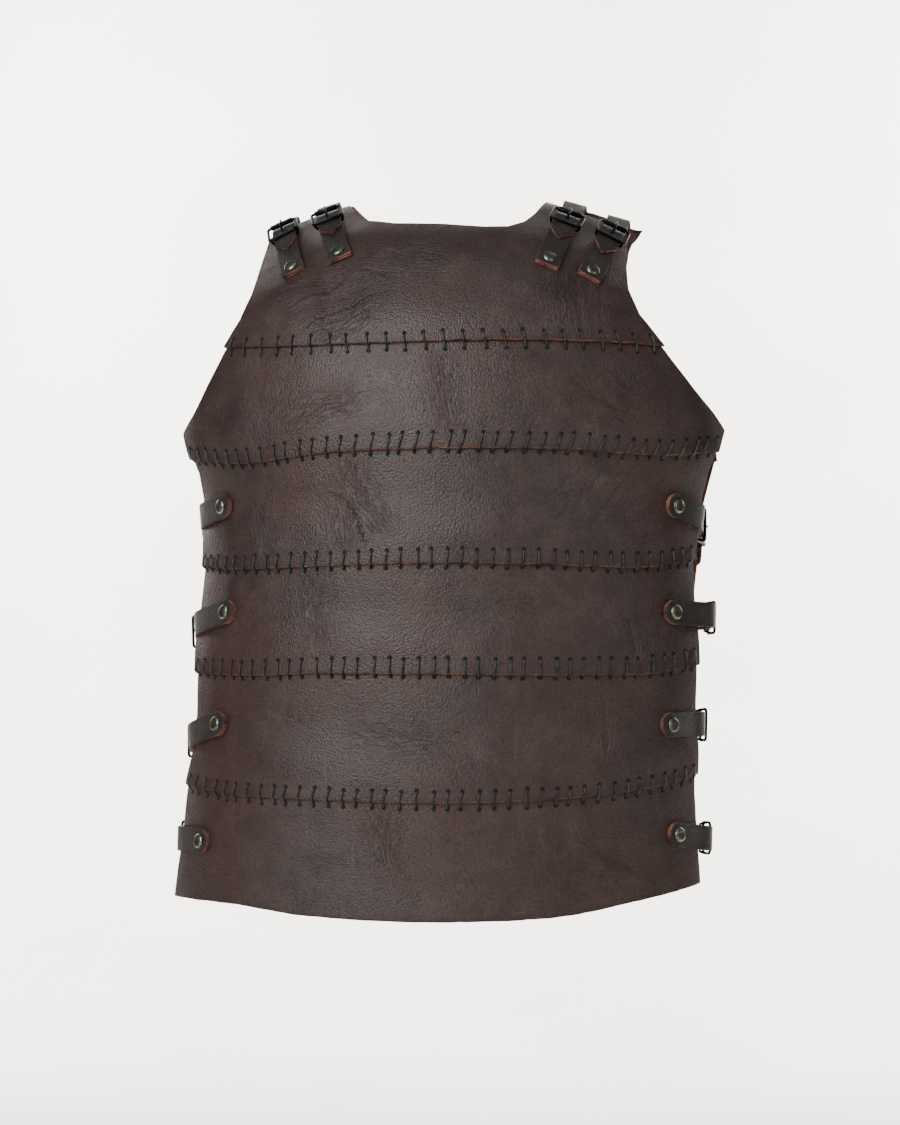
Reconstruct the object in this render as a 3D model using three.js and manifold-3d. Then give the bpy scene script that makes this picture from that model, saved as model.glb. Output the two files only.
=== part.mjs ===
// Leather cuirass: a front and a back of six overlapping hand-cut bands each, laced together
// along their laps, and held round the body by eight buckled straps at the sides and four at
// the shoulders. It keeps the hollow form that it has when worn.
//
// Millimetres, +Z up. The front faces -Y. The origin is where the wearer's shoulders carry it:
// midway between the shoulders, level with their top. "down" is a distance below that level.

import * as THREE from 'three';
import { mergeVertices } from 'three/addons/utils/BufferGeometryUtils.js';
import Module from 'manifold-3d';

// ---------------------------------------------------------------- driving dimensions

const WALL = 3;                  // thickness of the band leather
const GAP = 0.3;                 // air left between two pieces that touch
const LAP = 15;                  // how far each band reaches up under the one above it
const COLUMNS = 25;              // lines of points across a band

const STRAP_WIDTH = 19.5;
const STRAP_LEATHER = 2;
const TAB_WIDTH = 20;
const TAB_LEATHER = 4;           // two layers, folded round the buckle's bar
const TIP_LENGTH = 13;           // the pointed end of a strap
const TIP_WIDTH = 2;
const STRAP_STEP = 15;           // between sections of a strap behind its buckle

const BAR_RADIUS = 1.2;          // wire of the buckle frame
const ROLLER_RADIUS = 2.1;
const PRONG_RADIUS = 1.1;
const FRAME_HALF_WIDTH = 13;
const BAR_CLEAR = 0.8;           // air between the strap and the bars that cross it
const BAR_HEIGHT = 3.4;          // centre of the hinge bar above the panel
const FOLD_RISE = 2.2;           // how much the fold round the bar is thicker than the tab
const FOLD_ROUNDING = 1.4;
const HOLE_CLEAR = 0.5;          // air round the hinge bar in the fold
const PRONG_CLEAR = 0.9;         // air each side of the prong
const FRAME_CORNER = 1.6;        // cut across each corner of the frame
const HINGE_DIP = 0.7;           // the hinge bar dips to the fold over this width at each rail

const STRAP_OVER_TAB = 0.5;      // air under a strap where it lies on its tab
const RIDGE_CLEAR = 1.2;         // how far above the panels a strap crosses the top of the shoulder
const SEAT = 0.2;                // how proud a tab or strap lies, because its panel isn't flat

const RIVET_RADIUS = 6.25;
const RIVET_HEIGHT = 2.8;
const RIVET_SIDES = 10;
const RIVET_PROFILE = [          // shares of the radius and the height
  { out: 0, up: 0 },
  { out: 1, up: 0.12 },
  { out: 0.9, up: 0.6 },
  { out: 0.52, up: 0.93 },
  { out: 0, up: 1 },
];
const RIVET_SUNK = 0.4;          // how far the back rivet is drawn into its strap
const BACK_RIVET_AT = 9;         // from the strap's end

// Distances along a closure, measured from the riveted end of its tab.
function layout(tabLength, tipBack, rivetAt, roundEnd, rollerBeyond) {
  return {
    tabLength,
    roundEnd,
    rivetAt,
    keeper: tabLength - 10,
    hinge: tabLength - 3.5,
    roller: tabLength + rollerBeyond,
    tip: tabLength - tipBack,
    // A tab and the strap on it both have a section at each of these, so their faces run side by side.
    shared: [-41, -28, -19, -13, -8, -2].map((back) => tabLength + back),
  };
}
const SIDE_LAYOUT = layout(88, 16, 10.5, true, 8);
const SHOULDER_LAYOUT = layout(68, 32, 8.8, false, 14);
const STRAP_REACHES_PANEL = 20;  // behind the roller, where the strap has come down to the panel
const TAB_BEFORE_RIVET = 7.5;    // leather of a side tab inward of its rivet
const TAB_BELOW_RIVET = 5.5;     // leather of a shoulder tab below its rivet
const STRAP_ON_BACK = 19;        // length of a side strap that lies on the back
const CLOSE_BEND = 6;            // a tab that bends nearer the front's edge than this lies over the edge
const EDGE_RISE = 0.6;           // air between that edge and the tab
const STIFF_SHARE = 0.62;        // how far from the rivet to the bend a tab stays straight
const STRAP_SINK = 7;            // how far a strap draws in behind the bend
const STRAP_FALL = 8;            // how much lower it comes to lie on the back
const BUCKLE_SHARE = 0.45;       // where it draws in, as a share of the way from the bend to the back

// The body that the cuirass fits, level by level: where its middle lies sideways, half its
// width, and how deep it is in front and behind.
const BODY = [
  { down: -3, centre: 0, half: 205, front: 0, back: 0 },
  { down: 3, centre: 0, half: 206, front: 26, back: 24 },
  { down: 20, centre: 1, half: 208, front: 58, back: 50 },
  { down: 45, centre: 1, half: 212, front: 98, back: 78 },
  { down: 75, centre: 2, half: 216, front: 127, back: 98 },
  { down: 130, centre: 4, half: 229, front: 149, back: 117 },
  { down: 205, centre: 7, half: 243, front: 158, back: 126 },
  { down: 265, centre: 7, half: 223, front: 157, back: 126 },
  { down: 300, centre: 6, half: 220, front: 156, back: 126 },
  { down: 350, centre: 4, half: 224, front: 155, back: 125 },
  { down: 400, centre: 2, half: 227, front: 154, back: 124 },
  { down: 500, centre: -4, half: 229, front: 154, back: 124 },
  { down: 600, centre: -6, half: 238, front: 156, back: 126 },
];
const BACK_WIDTH = 0.965;        // the back half of the body is a little narrower

// Side edges of the front: shoulder tip, armhole, armpit corner, side and hem.
const FRONT_EDGES = [
  { down: 28, left: -151, right: 153 },
  { down: 60, left: -154, right: 151 },
  { down: 90, left: -157, right: 152 },
  { down: 112, left: -164, right: 160 },
  { down: 138, left: -180, right: 181 },
  { down: 165, left: -195, right: 202 },
  { down: 188, left: -206, right: 219 },
  { down: 202, left: -215, right: 228 },
  { down: 220, left: -210, right: 223 },
  { down: 235, left: -203, right: 217 },
  { down: 262, left: -200, right: 210 },
  { down: 300, left: -199, right: 204 },
  { down: 345, left: -203, right: 206 },
  { down: 400, left: -205, right: 207 },
  { down: 440, left: -205, right: 206 },
  { down: 472, left: -206, right: 206 },
  { down: 500, left: -214, right: 205 },
  { down: 600, left: -226, right: 212 },
];

// Side edges of the back.
const BACK_EDGES = [
  { down: 18, left: -148, right: 165 },
  { down: 45, left: -146, right: 150 },
  { down: 90, left: -150, right: 148 },
  { down: 138, left: -174, right: 176 },
  { down: 188, left: -204, right: 214 },
  { down: 202, left: -211, right: 224 },
  { down: 220, left: -210, right: 226 },
  { down: 262, left: -197, right: 214 },
  { down: 300, left: -192, right: 211 },
  { down: 332, left: -193, right: 208 },
  { down: 362, left: -194, right: 201 },
  { down: 400, left: -196, right: 200 },
  { down: 500, left: -204, right: 196 },
  { down: 600, left: -216, right: 204 },
];

// Top edges: shoulder tip, shoulder, neck corner, neckline and back out the other side.
const FRONT_TOP = [
  { x: -151, down: 34 },
  { x: -127, down: 21 },
  { x: -84, down: 5 },
  { x: -74, down: 18 },
  { x: -62, down: 27 },
  { x: -40, down: 31 },
  { x: 0, down: 32 },
  { x: 35, down: 36 },
  { x: 55, down: 35 },
  { x: 67, down: 29 },
  { x: 75, down: 19 },
  { x: 83, down: 4 },
  { x: 122, down: 20 },
  { x: 153, down: 32 },
];
const BACK_TOP = [
  { x: -148, down: 24 },
  { x: -120, down: 12 },
  { x: -84, down: 2 },
  { x: -72, down: 11 },
  { x: -40, down: 18 },
  { x: 0, down: 20 },
  { x: 40, down: 18 },
  { x: 72, down: 11 },
  { x: 83, down: 2 },
  { x: 122, down: 12 },
  { x: 165, down: 26 },
];
const NECK_CORNERS = { left: -84, right: 83 };
const NECK_COLUMN = 5.5 / 12;    // place of the neck corners between the middle and an edge

// Lower edge of each band, at seven evenly spaced places from left to right. Each was cut by eye.
const PLACES = ['left', 'left2', 'left1', 'middle', 'right1', 'right2', 'right'];
const LOWER_EDGES = [
  { left: 134, left2: 137, left1: 138, middle: 137, right1: 136, right2: 136, right: 137 },
  { left: 223, left2: 230, left1: 224, middle: 222, right1: 222, right2: 225, right: 219 },
  { left: 314, left2: 317, left1: 315, middle: 313, right1: 314, right2: 316, right: 309 },
  { left: 402, left2: 404, left1: 401, middle: 401, right1: 402, right2: 402, right: 395 },
  { left: 496, left2: 501, left1: 502, middle: 503, right1: 501, right2: 495, right: 485 },
  { left: 590, left2: 589, left1: 595, middle: 597, right1: 595, right2: 584, right: 575 },
];

// Rows of points down a band, as shares of the way from the seam above to the lap below.
const SHARES = [
  [0, 0.17, 0.4, 0.68, 1],
  [0, 0.33, 0.66, 0.92, 1],
  [0, 0.4, 1],
  [0, 0.4, 1],
  [0, 0.4, 1],
  [0, 0.5, 1],
];
const LIFT_FROM = 0.4;           // share of a band above which it lies flat on the body
const GROWN_SPREAD = 1.004;      // widens a band by about the air left beside it

// The shoulders slope down outward from here.
const SLOPE_FROM = 55;
const SLOPE_DROP = 27;           // drop 100 mm further out
const SLOPE_ENDS = 200;          // level below which the slope has died away
const SLOPE_FADE = 140;

// Side closures: the band they are on, where the front rivet sits, how far the strap falls on its
// way round, and how far out from and behind the front's edge the tab bends towards the back.
const SIDE_CLOSURES = [
  { name: 'side_left_1', hand: -1, band: 2, across: 177, down: 264, fall: 10, out: 1.5, behind: 19 },
  { name: 'side_left_2', hand: -1, band: 3, across: 173, down: 352, fall: 15, out: 2, behind: 18 },
  { name: 'side_left_3', hand: -1, band: 4, across: 180, down: 444, fall: 15, out: 5.8, behind: 15 },
  { name: 'side_left_4', hand: -1, band: 5, across: 195, down: 541, fall: 1, out: 1, behind: 18 },
  { name: 'side_right_1', hand: 1, band: 2, across: 188, down: 265, fall: 11, out: 2, behind: 17 },
  { name: 'side_right_2', hand: 1, band: 3, across: 186, down: 352, fall: 2, out: 14, behind: 8 },
  { name: 'side_right_3', hand: 1, band: 4, across: 183, down: 443, fall: 1, out: 6, behind: 12 },
  { name: 'side_right_4', hand: 1, band: 5, across: 189, down: 533, fall: 6, out: 10, behind: 10 },
];

// Shoulder closures: where the front rivet sits, and how far out the strap crosses the shoulder.
const SHOULDER_CLOSURES = [
  { name: 'shoulder_left_outer', band: 0, hand: -1, across: 121, down: 71, ridge: 140 },
  { name: 'shoulder_left_inner', band: 0, hand: -1, across: 82, down: 61, ridge: 104 },
  { name: 'shoulder_right_inner', band: 0, hand: 1, across: 88, down: 69, ridge: 108 },
  { name: 'shoulder_right_outer', band: 0, hand: 1, across: 122, down: 78, ridge: 145 },
];

// ---------------------------------------------------------------- reading the tables

const { clamp, lerp, smoothstep } = THREE.MathUtils;

function rowBefore(table, key, at) {
  let row = 0;
  while (row < table.length - 2 && at > table[row + 1][key]) row += 1;
  return row;
}

function straight(table, key, at, column) {
  const row = rowBefore(table, key, at);
  const [a, b] = [table[row], table[row + 1]];
  return lerp(a[column], b[column], clamp((at - a[key]) / (b[key] - a[key]), 0, 1));
}

// A cubic through the rows that never overshoots them.
function smooth(table, key, at, column) {
  const last = table.length - 1;
  const x = clamp(at, table[0][key], table[last][key]);
  const row = rowBefore(table, key, x);
  const rise = (k) => (table[k + 1][column] - table[k][column]) / (table[k + 1][key] - table[k][key]);
  const slope = (k) => {
    if (k === 0) return rise(0);
    if (k === last) return rise(last - 1);
    const [before, after] = [rise(k - 1), rise(k)];
    return before * after <= 0 ? 0 : (2 * before * after) / (before + after);
  };
  const step = table[row + 1][key] - table[row][key];
  const t = (x - table[row][key]) / step;
  const [t2, t3] = [t * t, t * t * t];
  return table[row][column] * (2 * t3 - 3 * t2 + 1) + slope(row) * step * (t3 - 2 * t2 + t)
    + table[row + 1][column] * (3 * t2 - 2 * t3) + slope(row + 1) * step * (t3 - t2);
}

function lowerEdge(band, u) {
  const table = PLACES.map((place, k) => ({ u: k / 3 - 1, down: LOWER_EDGES[band][place] }));
  return smooth(table, 'u', u, 'down');
}

// ---------------------------------------------------------------- the body's form

const facing = (side) => (side === 'front' ? -1 : 1);
const middle = (down) => smooth(BODY, 'down', down, 'centre');

function halfWidth(side, down) {
  return smooth(BODY, 'down', down, 'half') * (side === 'back' ? BACK_WIDTH : 1);
}

function shoulderDrop(x, down) {
  const out = Math.max(0, (Math.abs(x) - SLOPE_FROM) / 100);
  return SLOPE_DROP * out ** 1.5 * clamp((SLOPE_ENDS - down) / SLOPE_FADE, 0, 1);
}

// A point of the body's surface. The angle is 0 in the middle and a quarter turn at the side.
function onBody(side, angle, down) {
  const x = middle(down) + halfWidth(side, down) * Math.sin(angle);
  const depth = smooth(BODY, 'down', down - shoulderDrop(x, down), side);
  return new THREE.Vector3(x, facing(side) * depth * Math.cos(angle), -down);
}

// The way out of a surface at a place on it, from small steps across and down.
function wayOut(surface, side, angle, down, turn, drop) {
  const across = surface(side, angle + turn, down).sub(surface(side, angle - turn, down));
  const downward = surface(side, angle, down + drop).sub(surface(side, angle, down - drop));
  return across.cross(downward).multiplyScalar(facing(side)).normalize();
}

const outward = (side, angle, down) => wayOut(onBody, side, angle, down, 0.004, 0.6);

function angleAt(side, x, down) {
  return Math.asin(clamp((x - middle(down)) / halfWidth(side, down), -1, 1));
}

const offBody = (side, angle, down, out) =>
  onBody(side, angle, down).addScaledVector(outward(side, angle, down), out);

// ---------------------------------------------------------------- closed meshes

function closedMesh(points, faces) {
  const geometry = new THREE.BufferGeometry();
  const numbers = points.flatMap((point) => point.toArray());
  geometry.setAttribute('position', new THREE.Float32BufferAttribute(numbers, 3));
  geometry.setIndex(faces.flat());
  return geometry;
}

const quad = (a, b, c, d) => [[a, b, c], [a, c, d]];

// A wall between an inner and an outer grid of points, closed round its rim.
function wallBetween(inner, outer) {
  const [rows, columns] = [inner.length, inner[0].length];
  const points = [...inner.flat(), ...outer.flat()];
  const at = (layer, row, column) => (layer * rows + row) * columns + column;
  const faces = [];
  for (let r = 0; r < rows - 1; r += 1) {
    for (let c = 0; c < columns - 1; c += 1) {
      faces.push(...quad(at(1, r, c), at(1, r + 1, c), at(1, r + 1, c + 1), at(1, r, c + 1)));
      faces.push(...quad(at(0, r, c), at(0, r, c + 1), at(0, r + 1, c + 1), at(0, r + 1, c)));
    }
  }
  for (let r = 0; r < rows - 1; r += 1) {
    faces.push(...quad(at(0, r, 0), at(0, r + 1, 0), at(1, r + 1, 0), at(1, r, 0)));
    const end = columns - 1;
    faces.push(...quad(at(1, r, end), at(1, r + 1, end), at(0, r + 1, end), at(0, r, end)));
  }
  for (let c = 0; c < columns - 1; c += 1) {
    faces.push(...quad(at(0, 0, c), at(1, 0, c), at(1, 0, c + 1), at(0, 0, c + 1)));
    const end = rows - 1;
    faces.push(...quad(at(1, end, c), at(0, end, c), at(0, end, c + 1), at(1, end, c + 1)));
  }
  return closedMesh(points, faces);
}

// A skin over rings of points, closed at both ends, or joined end to end.
function overRings(rings, joined = false) {
  const count = rings[0].length;
  const points = rings.flat();
  const at = (ring, k) => (ring % rings.length) * count + (k % count);
  const faces = [];
  for (let r = 0; r < rings.length - (joined ? 0 : 1); r += 1) {
    for (let k = 0; k < count; k += 1) {
      faces.push(...quad(at(r, k), at(r, k + 1), at(r + 1, k + 1), at(r + 1, k)));
    }
  }
  if (!joined) {
    for (let k = 1; k < count - 1; k += 1) {
      faces.push([at(0, 0), at(0, k + 1), at(0, k)]);
      faces.push([at(rings.length - 1, 0), at(rings.length - 1, k), at(rings.length - 1, k + 1)]);
    }
  }
  return closedMesh(points, faces);
}

// ---------------------------------------------------------------- joining and cutting

const wasm = await Module();
wasm.setup();

function solid(geometry) {
  const bare = new THREE.BufferGeometry();
  bare.setAttribute('position', geometry.getAttribute('position').clone());
  if (geometry.index) bare.setIndex(geometry.index.clone());
  const merged = mergeVertices(bare, 1e-4);
  return new wasm.Manifold(new wasm.Mesh({
    numProp: 3,
    vertProperties: new Float32Array(merged.getAttribute('position').array),
    triVerts: new Uint32Array(merged.index.array),
  }));
}

function geometryOf(manifold) {
  const mesh = manifold.getMesh();
  const geometry = new THREE.BufferGeometry();
  geometry.setAttribute('position', new THREE.Float32BufferAttribute(mesh.vertProperties, 3));
  geometry.setIndex(new THREE.BufferAttribute(mesh.triVerts, 1));
  return geometry;
}

// ---------------------------------------------------------------- bands

function edgeAngles(side, down) {
  const edges = side === 'front' ? FRONT_EDGES : BACK_EDGES;
  return ['left', 'right'].map((hand) => angleAt(side, straight(edges, 'down', down, hand), down));
}

function plainPlace(side, u, down) {
  const [left, right] = edgeAngles(side, down);
  return { angle: lerp(left, right, (u + 1) / 2), down };
}

// A place on the top band, between its top edge (share 0) and the lap below (share 1).
function yokePlace(side, u, share) {
  const top = side === 'front' ? FRONT_TOP : BACK_TOP;
  const edges = side === 'front' ? FRONT_EDGES : BACK_EDGES;
  const tips = { left: top[0].x, right: top[top.length - 1].x };
  const { left: leftCorner, right: rightCorner } = NECK_CORNERS;
  const topX = (v) => {
    if (v < -NECK_COLUMN) return lerp(tips.left, leftCorner, (v + 1) / (1 - NECK_COLUMN));
    if (v > NECK_COLUMN) return lerp(rightCorner, tips.right, (v - NECK_COLUMN) / (1 - NECK_COLUMN));
    return lerp(leftCorner, rightCorner, (v / NECK_COLUMN + 1) / 2);
  };
  const topDown = (v) => straight(top, 'x', topX(v), 'down');
  const lapDown = (v) => lowerEdge(0, v) - LAP;
  const progress = (hand, v) => {
    const edgeX = (down) => straight(edges, 'down', down, hand);
    const [from, to] = [tips[hand], edgeX(lapDown(v))];
    if (share === 0) return 0;
    return (edgeX(lerp(topDown(v), lapDown(v), share)) - from) / (to - from);
  };
  const down = lerp(topDown(u), lapDown(u), share);
  const lap = plainPlace(side, u, lapDown(u));
  const lapX = onBody(side, lap.angle, lap.down).x;
  const moved = lerp(progress('left', -1), progress('right', 1), (u + 1) / 2);
  return { angle: angleAt(side, lerp(topX(u), lapX, moved), down), down };
}

function bandPlace(side, band, u, share) {
  if (band === 0) return yokePlace(side, u, share);
  const from = lowerEdge(band - 1, u);
  const to = lowerEdge(band, u) - (band === LOWER_EDGES.length - 1 ? 0 : LAP);
  return plainPlace(side, u, lerp(from, to, share));
}

// How far a band has risen off the body to ride over the top of the next one.
function lift(band, share) {
  if (band === LOWER_EDGES.length - 1) return 0;
  return (WALL + GAP) * clamp((share - LIFT_FROM) / (1 - LIFT_FROM), 0, 1);
}

// The wall of a band, between two heights off the body. A spread over 1 widens it.
function bandGeometry(side, band, from = 0, to = WALL, spread = 1) {
  const lastBand = band === LOWER_EDGES.length - 1;
  const rows = SHARES[band].map((share) => ({
    place: (u) => bandPlace(side, band, u, share),
    rise: lift(band, share),
  }));
  if (band > 0) rows.unshift({ place: (u) => plainPlace(side, u, lowerEdge(band - 1, u) - LAP), rise: 0 });
  if (!lastBand) rows.push({ place: (u) => plainPlace(side, u, lowerEdge(band, u)), rise: WALL + GAP });

  const grid = (extra) => rows.map((row) =>
    Array.from({ length: COLUMNS }, (_, column) => {
      const { angle, down } = row.place(spread * ((2 * column) / (COLUMNS - 1) - 1));
      return offBody(side, angle, down, row.rise + extra);
    }));
  const [inner, outer] = [grid(from), grid(to)];
  if (side === 'back') {
    for (const row of [...inner, ...outer]) row.reverse();
  }
  return wallBetween(inner, outer);
}

// A band with the air that touching pieces keep round it, to trim what lies on it.
const grownBand = (side, band) => solid(bandGeometry(side, band, -WALL, WALL + GAP, GROWN_SPREAD));

// ---------------------------------------------------------------- routes of the closures

// A route lies on the panels' outer faces and bridges the gap between them. It gives a frame
// at any distance along it: a point, the way along, the way across and the way out.
function routeThrough(stops) {
  const curve = new THREE.CatmullRomCurve3(stops.map((stop) => stop.point), false, 'centripetal');
  const outs = new THREE.CatmullRomCurve3(stops.map((stop) => stop.out), false, 'centripetal');
  const length = curve.getLength();
  const frame = (distance) => {
    const share = clamp(distance / length, 0, 1);
    const along = curve.getTangentAt(share);
    const out = outs.getPoint(curve.getUtoTmapping(share));
    out.addScaledVector(along, -out.dot(along)).normalize();
    const across = new THREE.Vector3().crossVectors(along, out);
    return { point: curve.getPointAt(share), along, across, out };
  };
  return { length, frame };
}

function place(route, distance, across, out) {
  const frame = route.frame(distance);
  return frame.point.clone().addScaledVector(frame.across, across).addScaledVector(frame.out, out);
}

// A point of the panels' outer faces.
function onFace(side, angle, down) {
  const [left, right] = edgeAngles(side, down);
  const u = clamp((2 * (angle - left)) / (right - left) - 1, -1, 1);
  const found = LOWER_EDGES.findIndex((_, k) => down < lowerEdge(k, u));
  const band = found < 0 ? LOWER_EDGES.length - 1 : found;
  if (band === 0) return offBody(side, angle, down, WALL);
  const from = lowerEdge(band - 1, u);
  const rise = lift(band, (down - from) / (lowerEdge(band, u) - LAP - from));
  return offBody(side, angle, down, WALL + rise);
}

function stopOn(side, x, down) {
  const angle = angleAt(side, x, down);
  const out = wayOut(onFace, side, angle, down, 0.02, 8);
  return { point: onFace(side, angle, down).addScaledVector(out, SEAT), out };
}

// Stops on a panel's outer face, evenly spaced from one place to another.
function along(side, from, to, count) {
  return Array.from({ length: count }, (_, k) => {
    const share = k / (count - 1);
    return stopOn(side, lerp(from.x, to.x, share), lerp(from.down, to.down, share));
  });
}

// A side tab is stiff: it leaves the panel towards its bend, and the strap runs on to the back.
function sideRoute({ hand, across, down, fall, out, behind }) {
  const edge = hand < 0 ? 'left' : 'right';
  const sideways = new THREE.Vector3(hand, 0, 0);
  const low = down + fall;
  const frontEdge = straight(FRONT_EDGES, 'down', low, edge);
  const backDown = low + STRAP_FALL;
  const backEdge = straight(BACK_EDGES, 'down', backDown, edge);
  const rivet = { x: hand * across, down };
  const end = { x: rivet.x - hand * TAB_BEFORE_RIVET, down: down - 0.15 * fall };
  const front = along('front', end, rivet, 3);
  const [, , riveted] = front;
  const atEdge = stopOn('front', frontEdge, low - 0.3 * fall);
  const strapEnd = { x: backEdge - hand * STRAP_ON_BACK, down: backDown };
  const back = along('back', { x: backEdge, down: backDown }, strapEnd, 4);
  const bend = {
    point: new THREE.Vector3(frontEdge + hand * out, atEdge.point.y + behind, -low),
    out: new THREE.Vector3(hand, -0.35, 0).normalize(),
  };
  const onEdge = atEdge.point.clone().addScaledVector(atEdge.out, EDGE_RISE);
  const over = {
    point: riveted.point.clone().lerp(bend.point, STIFF_SHARE).lerp(onEdge, out < CLOSE_BEND ? 0.8 : 0.1),
    out: riveted.out.clone().lerp(bend.out, 0.5).normalize(),
  };
  const beyond = {
    point: bend.point.clone().lerp(back[0].point, BUCKLE_SHARE).addScaledVector(sideways, -STRAP_SINK),
    out: sideways,
  };
  return routeThrough([...front, over, bend, beyond, ...back]);
}

function shoulderRoute({ hand, across, down, ridge }) {
  const ridgeDown = BODY[0].down + shoulderDrop(ridge, 0);
  const x = (share) => hand * lerp(across, ridge, share);
  const end = { x: x(-0.12), down: down + TAB_BELOW_RIVET };
  const front = along('front', end, { x: x(0.88), down: ridgeDown + 8 }, 9);
  const top = {
    point: new THREE.Vector3(x(1), 0, WALL + RIDGE_CLEAR - ridgeDown),
    out: new THREE.Vector3(hand * 0.3, 0, 1).normalize(),
  };
  const back = along('back', { x: x(0.96), down: ridgeDown + 12 }, { x: x(0.7), down: ridgeDown + 44 }, 5);
  return routeThrough([...front, top, ...back]);
}

// ---------------------------------------------------------------- tabs, straps, buckles, rivets

const tabTop = (plan, distance) =>
  GAP + TAB_LEATHER + FOLD_RISE * smoothstep(distance, plan.hinge - 11, plan.hinge - 1);

// The strap lies on the tab and its fold, passes under the roller and comes down to the panel.
function strapBase(plan, distance) {
  if (distance < plan.tabLength) return tabTop(plan, distance) + STRAP_OVER_TAB;
  const onFold = tabTop(plan, plan.tabLength) + STRAP_OVER_TAB;
  return lerp(onFold, GAP, smoothstep(distance, plan.tabLength, plan.roller + STRAP_REACHES_PANEL));
}

function ribbon(route, stations) {
  return overRings(stations.map(({ at, width, low, high }) => [
    place(route, at, -width / 2, low),
    place(route, at, -width / 2, high),
    place(route, at, width / 2, high),
    place(route, at, width / 2, low),
  ]));
}

function block(route, from, to, halfWide, low, high) {
  return ribbon(route, [from, to].map((at) => ({ at, width: 2 * halfWide, low, high })));
}

// A round wire through points along, across and out of a route, with a radius at each.
function wire(route, knots, sides, joined = false) {
  const points = knots.map(({ at, across, out }) => place(route, at, across, out));
  const rings = knots.map(({ at, radius }, k) => {
    const before = points[joined ? (k + points.length - 1) % points.length : Math.max(k - 1, 0)];
    const after = points[joined ? (k + 1) % points.length : Math.min(k + 1, points.length - 1)];
    const way = after.clone().sub(before).normalize();
    const frame = route.frame(at);
    const hint = Math.abs(way.dot(frame.out)) > 0.9 ? frame.along : frame.out;
    const u = hint.clone().addScaledVector(way, -hint.dot(way)).normalize();
    const v = new THREE.Vector3().crossVectors(way, u);
    return Array.from({ length: sides }, (_, s) => {
      const turn = (2 * Math.PI * s) / sides;
      const rim = u.clone().multiplyScalar(Math.cos(turn)).addScaledVector(v, Math.sin(turn));
      return points[k].clone().addScaledVector(rim, radius);
    });
  });
  return overRings(rings, joined);
}

// A tab has a rounded or a straight end, a hole for the hinge bar in its fold and a slot for the prong.
function tabGeometry({ route, plan, band }) {
  const radius = TAB_WIDTH / 2;
  const roundWidth = (at) => 2 * Math.sqrt(radius ** 2 - Math.max(radius - at, 0) ** 2);
  const places = [...(plan.roundEnd ? [0.4, 2.5, 6, 11] : [0, 11]), 22, ...plan.shared];
  const stations = places.map((at) => ({
    at,
    width: plan.roundEnd ? roundWidth(at) : TAB_WIDTH,
    low: GAP,
    high: tabTop(plan, at),
  }));
  const foldTop = tabTop(plan, plan.tabLength) - FOLD_ROUNDING;
  stations.push({ at: plan.tabLength, width: TAB_WIDTH, low: GAP + FOLD_ROUNDING, high: foldTop });
  const barHole = wire(route, [-1, 1].map((end) => ({
    at: plan.hinge,
    across: end * TAB_WIDTH,
    out: BAR_HEIGHT,
    radius: BAR_RADIUS + HOLE_CLEAR,
  })), 6);
  const [slotFrom, slotTo] = [plan.hinge - 2.2, plan.tabLength + 2];
  const slot = block(route, slotFrom, slotTo, PRONG_RADIUS + PRONG_CLEAR, BAR_HEIGHT - BAR_RADIUS, 20);
  const leather = solid(ribbon(route, stations)).subtract(solid(barHole)).subtract(solid(slot));
  return geometryOf(leather.subtract(grownBand('front', band)));
}

// A strap has a pointed end, a hole for the prong and its own rivet at the back.
function strapGeometry({ route, plan, band }) {
  const count = Math.ceil((route.length - plan.roller) / STRAP_STEP);
  const rest = Array.from({ length: count }, (_, k) => lerp(plan.roller, route.length, (k + 1) / count));
  const places = [plan.tip, plan.tip + TIP_LENGTH, ...plan.shared, plan.tabLength, plan.roller, ...rest];
  const stations = places.filter((at) => at >= plan.tip).sort((a, b) => a - b).map((at) => ({
    at,
    width: lerp(TIP_WIDTH, STRAP_WIDTH, Math.min((at - plan.tip) / TIP_LENGTH, 1)),
  }));
  const leather = ribbon(route, stations.map((station) => {
    const low = strapBase(plan, station.at);
    return { ...station, low, high: low + STRAP_LEATHER };
  }));
  const [holeFrom, holeTo] = [plan.hinge - 0.5, plan.roller - 3.5];
  const prongHole = block(route, holeFrom, holeTo, PRONG_RADIUS + PRONG_CLEAR, 2, 16);
  const backRivet = rivetGeometry(route, route.length - BACK_RIVET_AT, GAP + STRAP_LEATHER - RIVET_SUNK);
  const lying = solid(leather).subtract(solid(prongHole)).add(solid(backRivet));
  return geometryOf(lying.subtract(grownBand('back', band)).subtract(grownBand('front', band)));
}

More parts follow.
